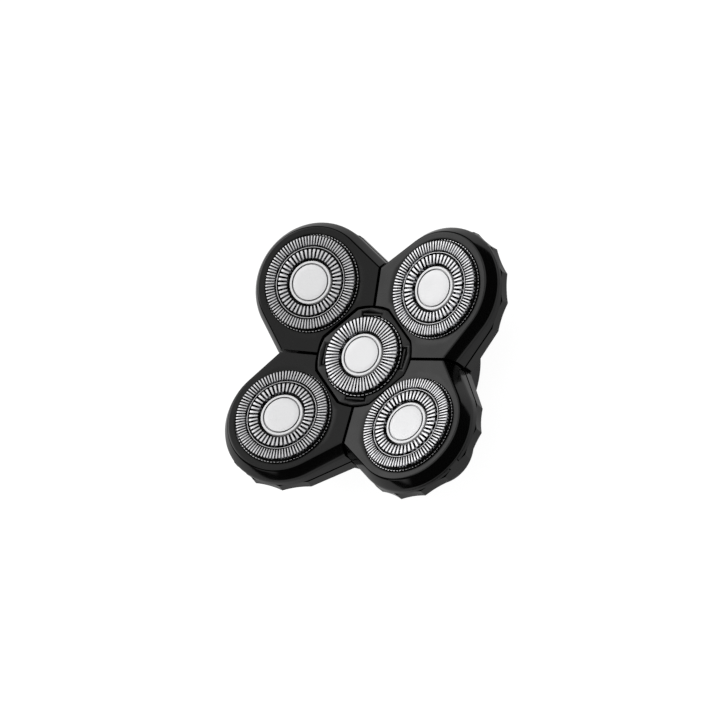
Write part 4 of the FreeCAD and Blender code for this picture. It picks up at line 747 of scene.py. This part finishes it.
@dataclass(frozen=True)
class PodOutline:
    """A pod's outline about its cap's axis, as distances in each direction.

    The nose is an arc.  The flanks run on tangent to it.  Near the head's middle the pod
    ends at the gaps to its two neighbours, at a ring about the head's axis and at a flat.
    """

    nose: float = 15.95
    flare: float = 8.5
    gap_side: float = 0.55
    ring: float = 13.0
    flat: float = 11.8
    lean: float = POD_LEAN
    circle: float = POD_CIRCLE

    def columns(self, level: Array, inset: float, wall: float,
                shares: Sequence[Array]) -> tuple[Array, Array]:
        """Angles and distances of the outline's points.

        In the direction p the nose is at r - d, a flank at (r - d) / cos(|p| - p0), a gap
        at (A - s) / (|sin p| - cos t cos p), the ring where
        (A + q cos t cos p)^2 + (q sin p)^2 = R^2, and the flat at (A - f) / (-cos t cos p);
        A is the distance from the head's axis of the point (0, 0, level), t the lean.

        Args:
            level: heights in the pod's frame, shaped (rows, columns) or (rows, 1).
            inset: how far in from the nose and the flanks.
            wall: how far in from the gaps, the ring and the flat.
            shares: fractions 0 to 1 along the half nose, flank, gap, ring and half flat.
        Returns:
            Two arrays (rows, columns): angle in radians and distance in millimetres.
        """
        lean = math.radians(self.lean)
        start = math.pi / 2 - math.radians(self.flare)
        radius = self.nose - inset
        side = self.gap_side + wall * math.sqrt(2)
        ring, flat = self.ring + wall, self.flat + wall
        meet = (side + math.sqrt(2 * ring ** 2 - side ** 2)) / 2
        end = math.sqrt(ring ** 2 - flat ** 2)
        angles, reaches, first = [], [], 0
        for part, share in enumerate(shares):
            part_level = level[:, first:first + len(share)] if level.shape[1] > 1 else level
            first += len(share)
            away = self.circle - part_level * math.sin(lean)
            depth = away - side
            gap_from = np.arctan2(depth * math.cos(start) + radius * math.cos(lean),
                                  radius - depth * math.sin(start))
            ring_from = np.arctan2(meet - side, (meet - away) / math.cos(lean))
            flat_from = np.arctan2(end, (flat - away) / math.cos(lean))
            marks = [np.zeros_like(away), np.full_like(away, start), gap_from, ring_from,
                     flat_from, np.full_like(away, math.pi)]
            low, high = marks[part], marks[part + 1]
            angle = low + (high - low) * share
            if part == 0:
                reach = np.full_like(angle, radius)
            elif part == 1:
                reach = radius / np.cos(angle - start)
            elif part == 2:
                reach = depth / (np.sin(angle) - math.cos(lean) * np.cos(angle))
            elif part == 3:
                square = math.cos(lean) ** 2 * np.cos(angle) ** 2 + np.sin(angle) ** 2
                half = away * math.cos(lean) * np.cos(angle)
                root = np.sqrt(np.maximum(half ** 2 - square * (away ** 2 - ring ** 2), 0))
                reach = (-half - root) / square
            else:
                reach = (away - flat) / (-math.cos(lean) * np.cos(angle))
            angles.append(angle)
            reaches.append(reach)
        return np.concatenate(angles, axis=1), np.concatenate(reaches, axis=1)


class CoverSkin(IntEnum):
    """Finishes of a pod's cover, in the order of its material slots."""

    SATIN = 0
    POLISHED = 1
    LAPPED = 2


@dataclass(frozen=True)
class RowPlace:
    """Where a row of the cover runs.

    inset is how far in from the nose and flanks, wall how far in from the gaps, and height
    the row's level, counted from the parting line where from_parting is set.
    """

    inset: float
    wall: float
    height: float
    from_parting: bool = True


@dataclass(frozen=True)
class PetalCover:
    """Upper shell of an outer pod: a flat face, a polished bevel, a side wall and a seam.

    cells gives the columns along the nose, flank, gap, ring and flat of one half.
    """

    outline: PodOutline = field(default_factory=PodOutline)
    face: float = -1.0
    hole: float = 12.3
    hole_rounding: float = 0.12
    hole_bulge: float = 0.035
    plate: float = 1.4
    wall: float = 1.2
    band: float = 1.7
    band_depth: float = 2.9
    softening: float = 0.5
    soft_points: int = 5
    face_spans: tuple[float, ...] = (0.35, 0.7, 0.9)
    parting: float = 5.5
    parting_slope: float = 6.0
    groove: float = 0.35
    groove_lip: float = 0.05
    groove_drop: float = 0.03
    window_angle: float = 12.65
    window_half: float = 1.6
    window_rise: float = 1.5
    window_start: int = 6
    window_cells: int = 8
    cells: tuple[int, ...] = (64, 26, 12, 8, 4)
    sharp: float = 24.0

    def half_shares(self) -> list[Array]:
        """Split each stretch of one half evenly; the last stretch reaches its end.

        Returns:
            Fractions from 0 to 1 for each stretch.
        """
        shares = [np.arange(count) / count for count in self.cells]
        shares[-1] = np.append(shares[-1], 1.0)
        return shares

    def half(self, level: Array, inset: float, wall: float, window: bool) -> tuple[Array, Array]:
        """Lay out one half of the outline.

        Args:
            level: heights in the pod's frame.
            inset: how far in from the nose and flanks.
            wall: how far in from the gaps.
            window: whether columns stand at the window's two sides.
        Returns:
            Angles and distances of the half's points.
        """
        shares = self.half_shares()
        if window:
            start = math.pi / 2 - math.radians(self.outline.flare)
            middle = math.radians(self.window_angle)
            spread = math.asin(self.window_half / (self.outline.nose - inset))
            low, high = (middle - spread) / start, (middle + spread) / start
            rest = self.cells[0] - self.window_start - self.window_cells
            shares[0] = np.concatenate([
                np.linspace(0, low, self.window_start, endpoint=False),
                np.linspace(low, high, self.window_cells, endpoint=False),
                np.linspace(high, 1, rest, endpoint=False)])
        return self.outline.columns(level, inset, wall, shares)

    def ring(self, level: Array, inset: float, wall: float) -> tuple[Array, Array]:
        """Lay out the whole outline, from the nose round the window's side and back.

        Args:
            level: heights in the pod's frame, one for all columns or one each.
            inset: how far in from the nose and flanks.
            wall: how far in from the gaps.
        Returns:
            Angles and distances of the outline's points.
        """
        full = level.shape[1] > 1
        count = sum(len(share) for share in self.half_shares())
        right = level[:, :count] if full else level
        left = level[:, count:][:, ::-1] if full else level
        angle_a, reach_a = self.half(right, inset, wall, True)
        if full:
            left = np.concatenate([level[:, :1], left, level[:, count - 1:count]], axis=1)
        angle_b, reach_b = self.half(left, inset, wall, False)
        angles = np.concatenate([angle_a, -angle_b[:, 1:-1][:, ::-1]], axis=1)
        reaches = np.concatenate([reach_a, reach_b[:, 1:-1][:, ::-1]], axis=1)
        return angles, reaches

    def row(self, place: RowPlace) -> Array:
        """Lay out one closed row of the shell.

        The parting line falls away from the nose by the distance along X times its slope's
        tangent, and two rounds settle the heights and the outline that depends on them.

        Args:
            place: where the row runs.
        Returns:
            Array (1, columns, 3) in the pod's frame.
        """
        level = np.full((1, 1), -self.parting if place.from_parting else place.height)
        angles, reaches = self.ring(level, place.inset, place.wall)
        if place.from_parting:
            slope = math.tan(math.radians(self.parting_slope))
            for _ in range(2):
                level = (place.height - self.parting
                         - (self.outline.nose - reaches * np.cos(angles)) * slope)
                angles, reaches = self.ring(level, place.inset, place.wall)
        return np.stack([reaches * np.cos(angles), reaches * np.sin(angles),
                         np.broadcast_to(level, angles.shape)], axis=-1)

    def bend(self, start: Array, corner: Array, end: Array) -> list[RowPlace]:
        """Round a corner of the section by (1-t)^2 a + 2t(1-t) p + t^2 b.

        Args:
            start: the point a, as inset and height.
            corner: the corner p.
            end: the point b.
        Returns:
            Places of the rows along the curve.
        """
        share = np.linspace(0.0, 1.0, self.soft_points)[:, None]
        curve = (1 - share) ** 2 * start + 2 * share * (1 - share) * corner + share ** 2 * end
        return [RowPlace(float(inset), 0.0, float(height), False) for inset, height in curve]

    def bevel(self) -> list[RowPlace]:
        """Lay rows over the rounded upper and lower edges of the bevel.

        Returns:
            Places of the rows, from the face down to the wall.
        """
        upper = np.array([self.band, self.face])
        lower = np.array([0.0, self.face - self.band_depth])
        down = (lower - upper) / np.linalg.norm(lower - upper) * self.softening
        inwards, wall_down = np.array([[self.softening, 0.0], [0.0, -self.softening]])
        return (self.bend(upper + inwards, upper, upper + down)
                + self.bend(lower - down, lower, lower + wall_down))

    def build(self, name: str, seat: Seat) -> bpy.types.Object:
        """Make the cover as one closed shell with a window.

        The rows run from the hole's lower edge up over the face, down the bevel and the
        wall into the seam's groove, round the rim and up inside to the hole again.  The
        cells of the window are left out, and jambs join the wall's two sides round it.

        Args:
            name: the object's name.
            seat: where the pod's cap disc sits.
        Returns:
            The cover.
        """
        outline = self.row(RowPlace(0.0, 0.0, self.face, False))
        angles = np.arctan2(outline[..., 1], outline[..., 0])
        circle = np.stack([np.cos(angles), np.sin(angles), np.zeros_like(angles)], axis=-1)
        up = np.array([0.0, 0.0, 1.0])
        under = self.face - self.plate
        edge = circle * (self.hole + self.hole_rounding) + up * self.face
        rows = [circle * self.hole + up * under,
                circle * self.hole + up * (self.face - self.hole_rounding),
                circle * (self.hole + self.hole_bulge) + up * (self.face - self.hole_bulge),
                edge]
        bevel = [self.row(place) for place in self.bevel()]
        rows += [edge + (bevel[0] - edge) * span for span in self.face_spans]
        rows += bevel
        window_top = len(rows)
        rows += [self.row(place) for place in (
            RowPlace(0.0, 0.0, self.window_rise),
            RowPlace(0.0, 0.0, self.groove + self.groove_lip),
            RowPlace(self.groove_lip, 0.0, self.groove),
            RowPlace(self.groove, 0.0, self.groove - self.groove_drop),
            RowPlace(self.groove, 0.0, 0.0))]
        foot = len(rows)
        rows += [self.row(place) for place in (
            RowPlace(self.wall, self.wall, 0.0), RowPlace(self.wall, self.wall, self.groove),
            RowPlace(self.wall, self.wall, self.window_rise),
            RowPlace(self.wall, self.wall, under, False))]
        points = np.concatenate(rows, axis=0)
        # Finish of the strip below each row: hole, its rounding, face, bevel, wall, inside
        finish = np.repeat([CoverSkin.SATIN, CoverSkin.POLISHED, CoverSkin.SATIN,
                            CoverSkin.POLISHED, CoverSkin.LAPPED, CoverSkin.SATIN],
                           [1, 2, 5, 6, 8, 4])
        low, high = self.window_start, self.window_start + self.window_cells
        kept = np.ones(points.shape[:2], bool)
        kept[window_top:foot + 2, low:high] = False
        outer = points[window_top:foot, low:high + 1]
        inside = points[foot:foot + 3, low:high + 1][::-1][[0, 1, 1, 1, 2]]
        jambs = [Surface(seat.place(np.stack(pair)), wrap=False,
                         finish=np.full((1, len(pair[0]) - 1), CoverSkin.LAPPED))
                 for pair in ((outer[:, 0], inside[:, 0]), (inside[:, -1], outer[:, -1]),
                              (inside[0], outer[0]))]
        shell = Surface(seat.place(points), kept=kept, finish=finish[:, None], wrap_rows=True)
        return build_mesh(name, [shell] + jambs, sharp=self.sharp)


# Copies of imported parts

def copy_part(frame: dict[str, Any], node: str, sharp: float | None) -> bpy.types.Object:
    """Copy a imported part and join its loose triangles.

    Args:
        node: the part's node.
        sharp: edges that bend more than this many degrees stay sharp, or None to leave
            every facet flat.
    Returns:
        The copy, which keeps the part's shape and place.
    """
    mesh = frame["nodes"][node].data.copy()
    close_seams(mesh, PART_MERGE)
    mesh.polygons.foreach_set("use_smooth", np.full(len(mesh.polygons), sharp is not None))
    if sharp is not None:
        mesh.set_sharp_from_angle(angle=math.radians(sharp))
    item = bpy.data.objects.new(node + "_look", mesh)
    bpy.context.scene.collection.objects.link(item)
    return item


def paint(item: bpy.types.Object, finishes: Sequence[Finish]) -> None:
    """Fill a piece's material slots; each face keeps its slot's number where there is one.

    Args:
        item: the piece.
        finishes: its finishes, in the order of the slots.
    """
    mesh = item.data
    chosen = np.zeros(len(mesh.polygons), np.int32)
    mesh.polygons.foreach_get("material_index", chosen)
    mesh.materials.clear()
    for finish in finishes:
        mesh.materials.append(finish.make())
    mesh.polygons.foreach_set("material_index", np.minimum(chosen, len(finishes) - 1))


def dress(item: bpy.types.Object, body: str, finishes: Sequence[Finish]) -> None:
    """Give a piece its finishes and the body that it rides on.

    Args:
        item: the piece.
        body: the body that carries it.
        finishes: its finishes, in the order of the slots.
    """
    paint(item, finishes)
    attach(item, body)
    LOG.info("%s: %d faces on %s", item.name, len(item.data.polygons), body)


@dataclass(frozen=True)
class MouldedPart:
    """A packed moulding, shown as it is but with its curves shaded smoothly.

    A faceted part keeps its facets flat, as the long thin ones of the flutes need.
    """

    node: str
    body: str
    slot: str
    finish: Finish
    sharp: float = 30.0
    faceted: bool = False

    def build(self, frame: dict[str, Any]) -> bpy.types.Object:
        """Copy the part and dress it.

        Args:
        Returns:
            The copy, which replaces the part.
        """
        item = copy_part(frame, self.node, None if self.faceted else self.sharp)
        if not self.faceted:
            item.modifiers.new("flat_faces", "WEIGHTED_NORMAL").keep_sharp = True
        dress(item, self.body, [self.finish])
        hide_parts(self.node)
        return item


@dataclass(frozen=True)
class CoilSpring:
    """Spring under a spindle's collar, which shortens as the spindle slides into its gear; the
    copy keeps its imported length.
    """

    number: int
    gear: str
    sharp: float = 35.0

    def build(self, frame: dict[str, Any]) -> bpy.types.Object:
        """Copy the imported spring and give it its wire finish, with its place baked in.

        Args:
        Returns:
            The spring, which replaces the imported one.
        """
        node = f"spindle_spring_{self.number}"
        item = copy_part(frame, node, self.sharp)
        paint(item, [SPRING_WIRE])
        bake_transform(item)
        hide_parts(node)
        LOG.info("%s: %d faces on %s", item.name, len(item.data.polygons), self.gear)
        return item


# The head

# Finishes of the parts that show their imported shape
INNER_FINISHES = {
    "cutter": GROUND_STEEL, "cutter_carrier": GREY_ACETAL, "cutter_retainer": BLACK_ACETAL,
    "spindle": ACETAL, "planet_gear": ACETAL, "sun_gear": ACETAL,
    "hinge_pin": GROUND_STEEL, "gear_cover_screws": GROUND_STEEL}


@dataclass(frozen=True)
class OuterPod:
    """A leaning pod: its cap and disc, the moulded cover and the fluted bowl."""

    number: int
    azimuth: float
    cap: SlottedCap = SlottedCap(OUTER_CAP_SECTION, SlotRow(90, 0.37), SlotRow(45, 0.48))

    def build(self, frame: dict[str, Any]) -> None:
        """Build the pod's outer pieces.
        """
        seat, body = Seat(self.azimuth), f"pod_{self.number}"
        build_cap(self.cap, f"outer_cap_{self.number}", f"cap_disc_{self.number}", seat, body)
        cover = PetalCover().build(f"petal_cover_{self.number}_look", seat)
        dress(cover, body, [SATIN_ABS, POLISHED_ABS, LAPPED_ABS])
        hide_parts(f"petal_cover_{self.number}")
        MouldedPart(f"petal_bowl_{self.number}", body, "pod_bowl", POLISHED_ABS,
                    faceted=True).build(frame)


@dataclass(frozen=True)
class CentrePod:
    """The level pod in the middle: its cap and disc, its two shells and the bayonet tabs."""

    body: str = "centre_pod"
    seat: Seat = Seat(OUTER_AZIMUTHS[0], radius=0.0, height=CENTRE_HEIGHT, lean=0.0)
    cap: SlottedCap = SlottedCap(CENTRE_CAP_SECTION, SlotRow(60, 0.40))

    def build(self, frame: dict[str, Any]) -> None:
        """Build the pod's outer pieces.
        """
        build_cap(self.cap, "centre_cap", "cap_disc_5", self.seat, self.body)
        MouldedPart("centre_cover", self.body, "pod_cover", SATIN_ABS).build(frame)
        dress(BayonetTabs().build("bayonet_tabs_look", self.seat), self.body,
              [SATIN_ABS])
        MouldedPart("centre_bowl", self.body, "pod_bowl", SATIN_ABS).build(frame)


def build_cap(cap: SlottedCap, node: str, disc_node: str, seat: Seat, body: str) -> None:
    """Build a cap and its disc.

    Args:
        cap: the cap's sizes.
        node: the node that the cap replaces.
        disc_node: the node that the disc replaces.
        seat: where the two sit.
        body: the body that carries them.
    """
    item = cap.build(node + "_look", seat)
    # The cap's second finish is black steel as painted shade in its recesses
    dress(item, body, [PRESSED_STEEL, PAINTED_SHADE_STEEL])
    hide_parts(node)
    disc = CapDisc().build(disc_node + "_look", seat)
    # The disc's second finish is darker steel as painted shade in its ring groove
    dress(disc, body, [SILVER_LACQUER, GROOVE_SHADE_STEEL])
    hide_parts(disc_node)


@dataclass(frozen=True)
class DriveUnit:
    """What carries and drives the pods: gearbox, seal, springs and the inner parts."""

    spindles: int = 5

    def build(self, frame: dict[str, Any]) -> None:
        """Build the shells and springs, and dress the inner parts.
        """
        MouldedPart("gearbox_base", "base", "gearbox_plastic", GEARBOX_NYLON).build(frame)
        MouldedPart("gear_cover", "base", "gearbox_plastic", GEARBOX_NYLON).build(frame)
        MouldedPart("neck_seal", "base", "seal_rubber", NITRILE).build(frame)
        for number in range(1, self.spindles):
            CoilSpring(number, f"planet_{number}").build(frame)
        CoilSpring(self.spindles, "sun").build(frame)
        for name, node in frame["nodes"].items():
            stem = name.rsplit("_", 1)[0] if name[-1].isdigit() else name
            if stem in INNER_FINISHES:
                node.data.materials.clear()
                node.data.materials.append(INNER_FINISHES[stem].make())
                LOG.info("%s: dressed as packed", name)


# Room, light and camera

@dataclass(frozen=True)
class SoftBox:
    """A soft box: where it stands, how large it is and how bright its face is.

    toward points from the head to the box, distance and size are metres, and fade is the
    share of each side over which the light comes up from nothing at the edge.
    """

    name: str
    toward: tuple[float, float, float]
    size: tuple[float, float]
    radiance: float
    distance: float = 1.6
    fade: float = 0.3
    aim_height: float = 0.02

    def soften_edges(self, data: bpy.types.AreaLight) -> None:
        """Let the light fade towards the edges, as cloth in front of a lamp does.

        With u from 0 to 1 along a side, a smooth step of |u - 1/2| is 0 at the edge, where
        that is 1/2, and 1 from 1/2 - fade inwards.  The two sides' steps are multiplied.

        Args:
            data: the area lamp.
        """
        data.use_nodes = True
        tree = data.node_tree
        tree.nodes.clear()
        place = add_node(tree, "ShaderNodeSeparateXYZ", {
            "Vector": add_node(tree, "ShaderNodeNewGeometry").outputs["Parametric"]})
        both = add_node(tree, "ShaderNodeMath", operation="MULTIPLY")
        for side, axis in enumerate(("X", "Y")):
            centred = add_node(tree, "ShaderNodeMath", {0: place.outputs[axis]}, {1: 0.5},
                               operation="SUBTRACT")
            away = add_node(tree, "ShaderNodeMath", {0: centred.outputs["Value"]},
                            operation="ABSOLUTE")
            rise = add_node(tree, "ShaderNodeMapRange", {"Value": away.outputs["Value"]},
                            {"From Min": 0.5, "From Max": 0.5 - self.fade},
                            interpolation_type="SMOOTHSTEP")
            tree.links.new(rise.outputs["Result"], both.inputs[side])
        cloth = add_node(tree, "ShaderNodeEmission", {"Strength": both.outputs["Value"]})
        add_node(tree, "ShaderNodeOutputLight", {"Surface": cloth.outputs["Emission"]})

    def build(self) -> None:
        """Add the lamp, facing the head; its power is radiance times pi times area."""
        data = bpy.data.lights.new(self.name, "AREA")
        data.shape = "RECTANGLE"
        data.size, data.size_y = self.size
        data.energy = self.radiance * math.pi * self.size[0] * self.size[1]
        self.soften_edges(data)
        lamp = bpy.data.objects.new(self.name, data)
        toward = Vector(self.toward).normalized()
        lamp.location = toward * self.distance + Vector((0, 0, self.aim_height))
        lamp.rotation_euler = toward.to_track_quat("Z", "Y").to_euler()
        bpy.context.scene.collection.objects.link(lamp)


# A wide box overhead, a bright one at the left and a low strip in front
SOFT_BOXES = (
    SoftBox("overhead_box", (-0.28, 0.28, 0.90), (2.6, 2.6), 0.6),
    SoftBox("left_box", (-0.77, 0.26, 0.58), (1.6, 1.6), 1.6),
    SoftBox("front_box", (-0.45, -0.85, 0.25), (1.2, 0.5), 0.5),
)


@dataclass(frozen=True)
class PhotoCamera:
    """The camera of the photograph: its axes, and the point that it looks at."""

    target: tuple[float, float, float] = (0.0, 0.0, POD_HEIGHT)
    distance: float = 1036.2
    off_right: float = 0.66
    off_up: float = -2.0
    right: tuple[float, float, float] = (0.8744, 0.1988, -0.4427)
    up: tuple[float, float, float] = (-0.0489, 0.9437, 0.3271)
    back: tuple[float, float, float] = (0.48277, -0.26438, 0.83489)
    lens: float = 215.9
    sensor: float = 36.0
    clip: tuple[float, float] = (0.05, 20.0)

    def build(self) -> None:
        """Add the camera at target + distance * back, moved along its own two axes."""
        right, up, back = [np.array(axis) for axis in (self.right, self.up, self.back)]
        place = (np.array(self.target) + self.distance * back + self.off_right * right
                 + self.off_up * up) * MM
        data = bpy.data.cameras.new("photo_camera")
        data.lens, data.sensor_width = self.lens, self.sensor
        data.clip_start, data.clip_end = self.clip
        camera = bpy.data.objects.new("photo_camera", data)
        matrix = Matrix.Identity(4)
        for column, axis in enumerate((right, up, back)):
            for row in range(3):
                matrix[row][column] = axis[row]
        matrix.translation = Vector(place)
        camera.matrix_world = matrix
        bpy.context.scene.collection.objects.link(camera)
        bpy.context.scene.camera = camera


@dataclass(frozen=True)
class Studio:
    """White table, soft light and a white surround.

    The table and the surround show white to the camera, and only dimly in what the head
    mirrors, as black card round a set does.
    """

    table_half: float = 1.5
    table_sink: float = 1e-5
    table_paint: str = "#f4f4f4"
    table_shade: str = "#707070"
    table_shown: float = 0.94
    table_mirrored: float = 0.3
    fill: float = 0.7
    surround_mirrored: float = 0.02
    surround_shown: float = 1.0

    def build_table(self) -> None:
        """Add the table.

        White paint lights the head.  To the camera and in mirrors the table glows, with a
        little grey paint added that takes the head's shadow.
        """
        size = self.table_half
        grid = np.array([[(-size, -size, 0.0), (size, -size, 0.0)],
                         [(-size, size, 0.0), (size, size, 0.0)]])
        floor = build_mesh("table_top", [Surface(grid - np.array([0, 0, self.table_sink]),
                                                 wrap=False)])
        material = bpy.data.materials.new("white_table")
        material.use_nodes = True
        tree = material.node_tree
        tree.nodes.clear()
        ray = add_node(tree, "ShaderNodeLightPath")
        seen = add_node(tree, "ShaderNodeMath", {0: ray.outputs["Is Camera Ray"],
                                                 1: ray.outputs["Is Glossy Ray"]},
                        operation="MAXIMUM")
        strength = add_node(tree, "ShaderNodeMath", {0: ray.outputs["Is Camera Ray"]},
                            {1: self.table_shown - self.table_mirrored,
                             2: self.table_mirrored}, operation="MULTIPLY_ADD")
        glow = add_node(tree, "ShaderNodeEmission", {"Strength": strength.outputs["Value"]},
                        {"Color": linear("#ffffff")})
        shade = add_node(tree, "ShaderNodeBsdfDiffuse",
                         values={"Color": linear(self.table_shade)})
        paint_node = add_node(tree, "ShaderNodeBsdfDiffuse",
                              values={"Color": linear(self.table_paint)})
        shown = add_node(tree, "ShaderNodeAddShader", {0: glow.outputs["Emission"],
                                                       1: shade.outputs["BSDF"]})
        mix = add_node(tree, "ShaderNodeMixShader", {
            0: seen.outputs["Value"], 1: paint_node.outputs["BSDF"],
            2: shown.outputs["Shader"]})
        add_node(tree, "ShaderNodeOutputMaterial", {"Surface": mix.outputs["Shader"]})
        floor.data.materials.append(material)

    def build_surround(self) -> None:
        """Add the even light all round, dim in mirrors and white to the camera."""
        world = bpy.data.worlds.new("studio")
        bpy.context.scene.world = world
        world.use_nodes = True
        tree = world.node_tree
        tree.nodes.clear()
        ray = add_node(tree, "ShaderNodeLightPath")
        fill, mirrored, shown = [
            add_node(tree, "ShaderNodeBackground",
                     values={"Color": linear("#ffffff"), "Strength": strength})
            for strength in (self.fill, self.surround_mirrored, self.surround_shown)]
        unseen = add_node(tree, "ShaderNodeMixShader", {
            0: ray.outputs["Is Glossy Ray"], 1: fill.outputs["Background"],
            2: mirrored.outputs["Background"]})
        mix = add_node(tree, "ShaderNodeMixShader", {
            0: ray.outputs["Is Camera Ray"], 1: unseen.outputs["Shader"],
            2: shown.outputs["Background"]})
        add_node(tree, "ShaderNodeOutputWorld", {"Surface": mix.outputs["Shader"]})

    def build(self) -> None:
        """Set up the table, the surround and the lamps."""
        self.build_table()
        self.build_surround()
        for box in SOFT_BOXES:
            box.build()
        bpy.context.scene.view_settings.view_transform = "Standard"


def main() -> None:
    """Build the pods round the frame, then the studio."""
    logging.basicConfig(level=logging.INFO, format="%(name)s: %(message)s")
    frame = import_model()
    for number, azimuth in enumerate(OUTER_AZIMUTHS, start=1):
        OuterPod(number, azimuth).build(frame)
    CentrePod().build(frame)
    DriveUnit().build(frame)
    PhotoCamera().build()
    Studio().build()


if __name__ == "__main__":
    main()
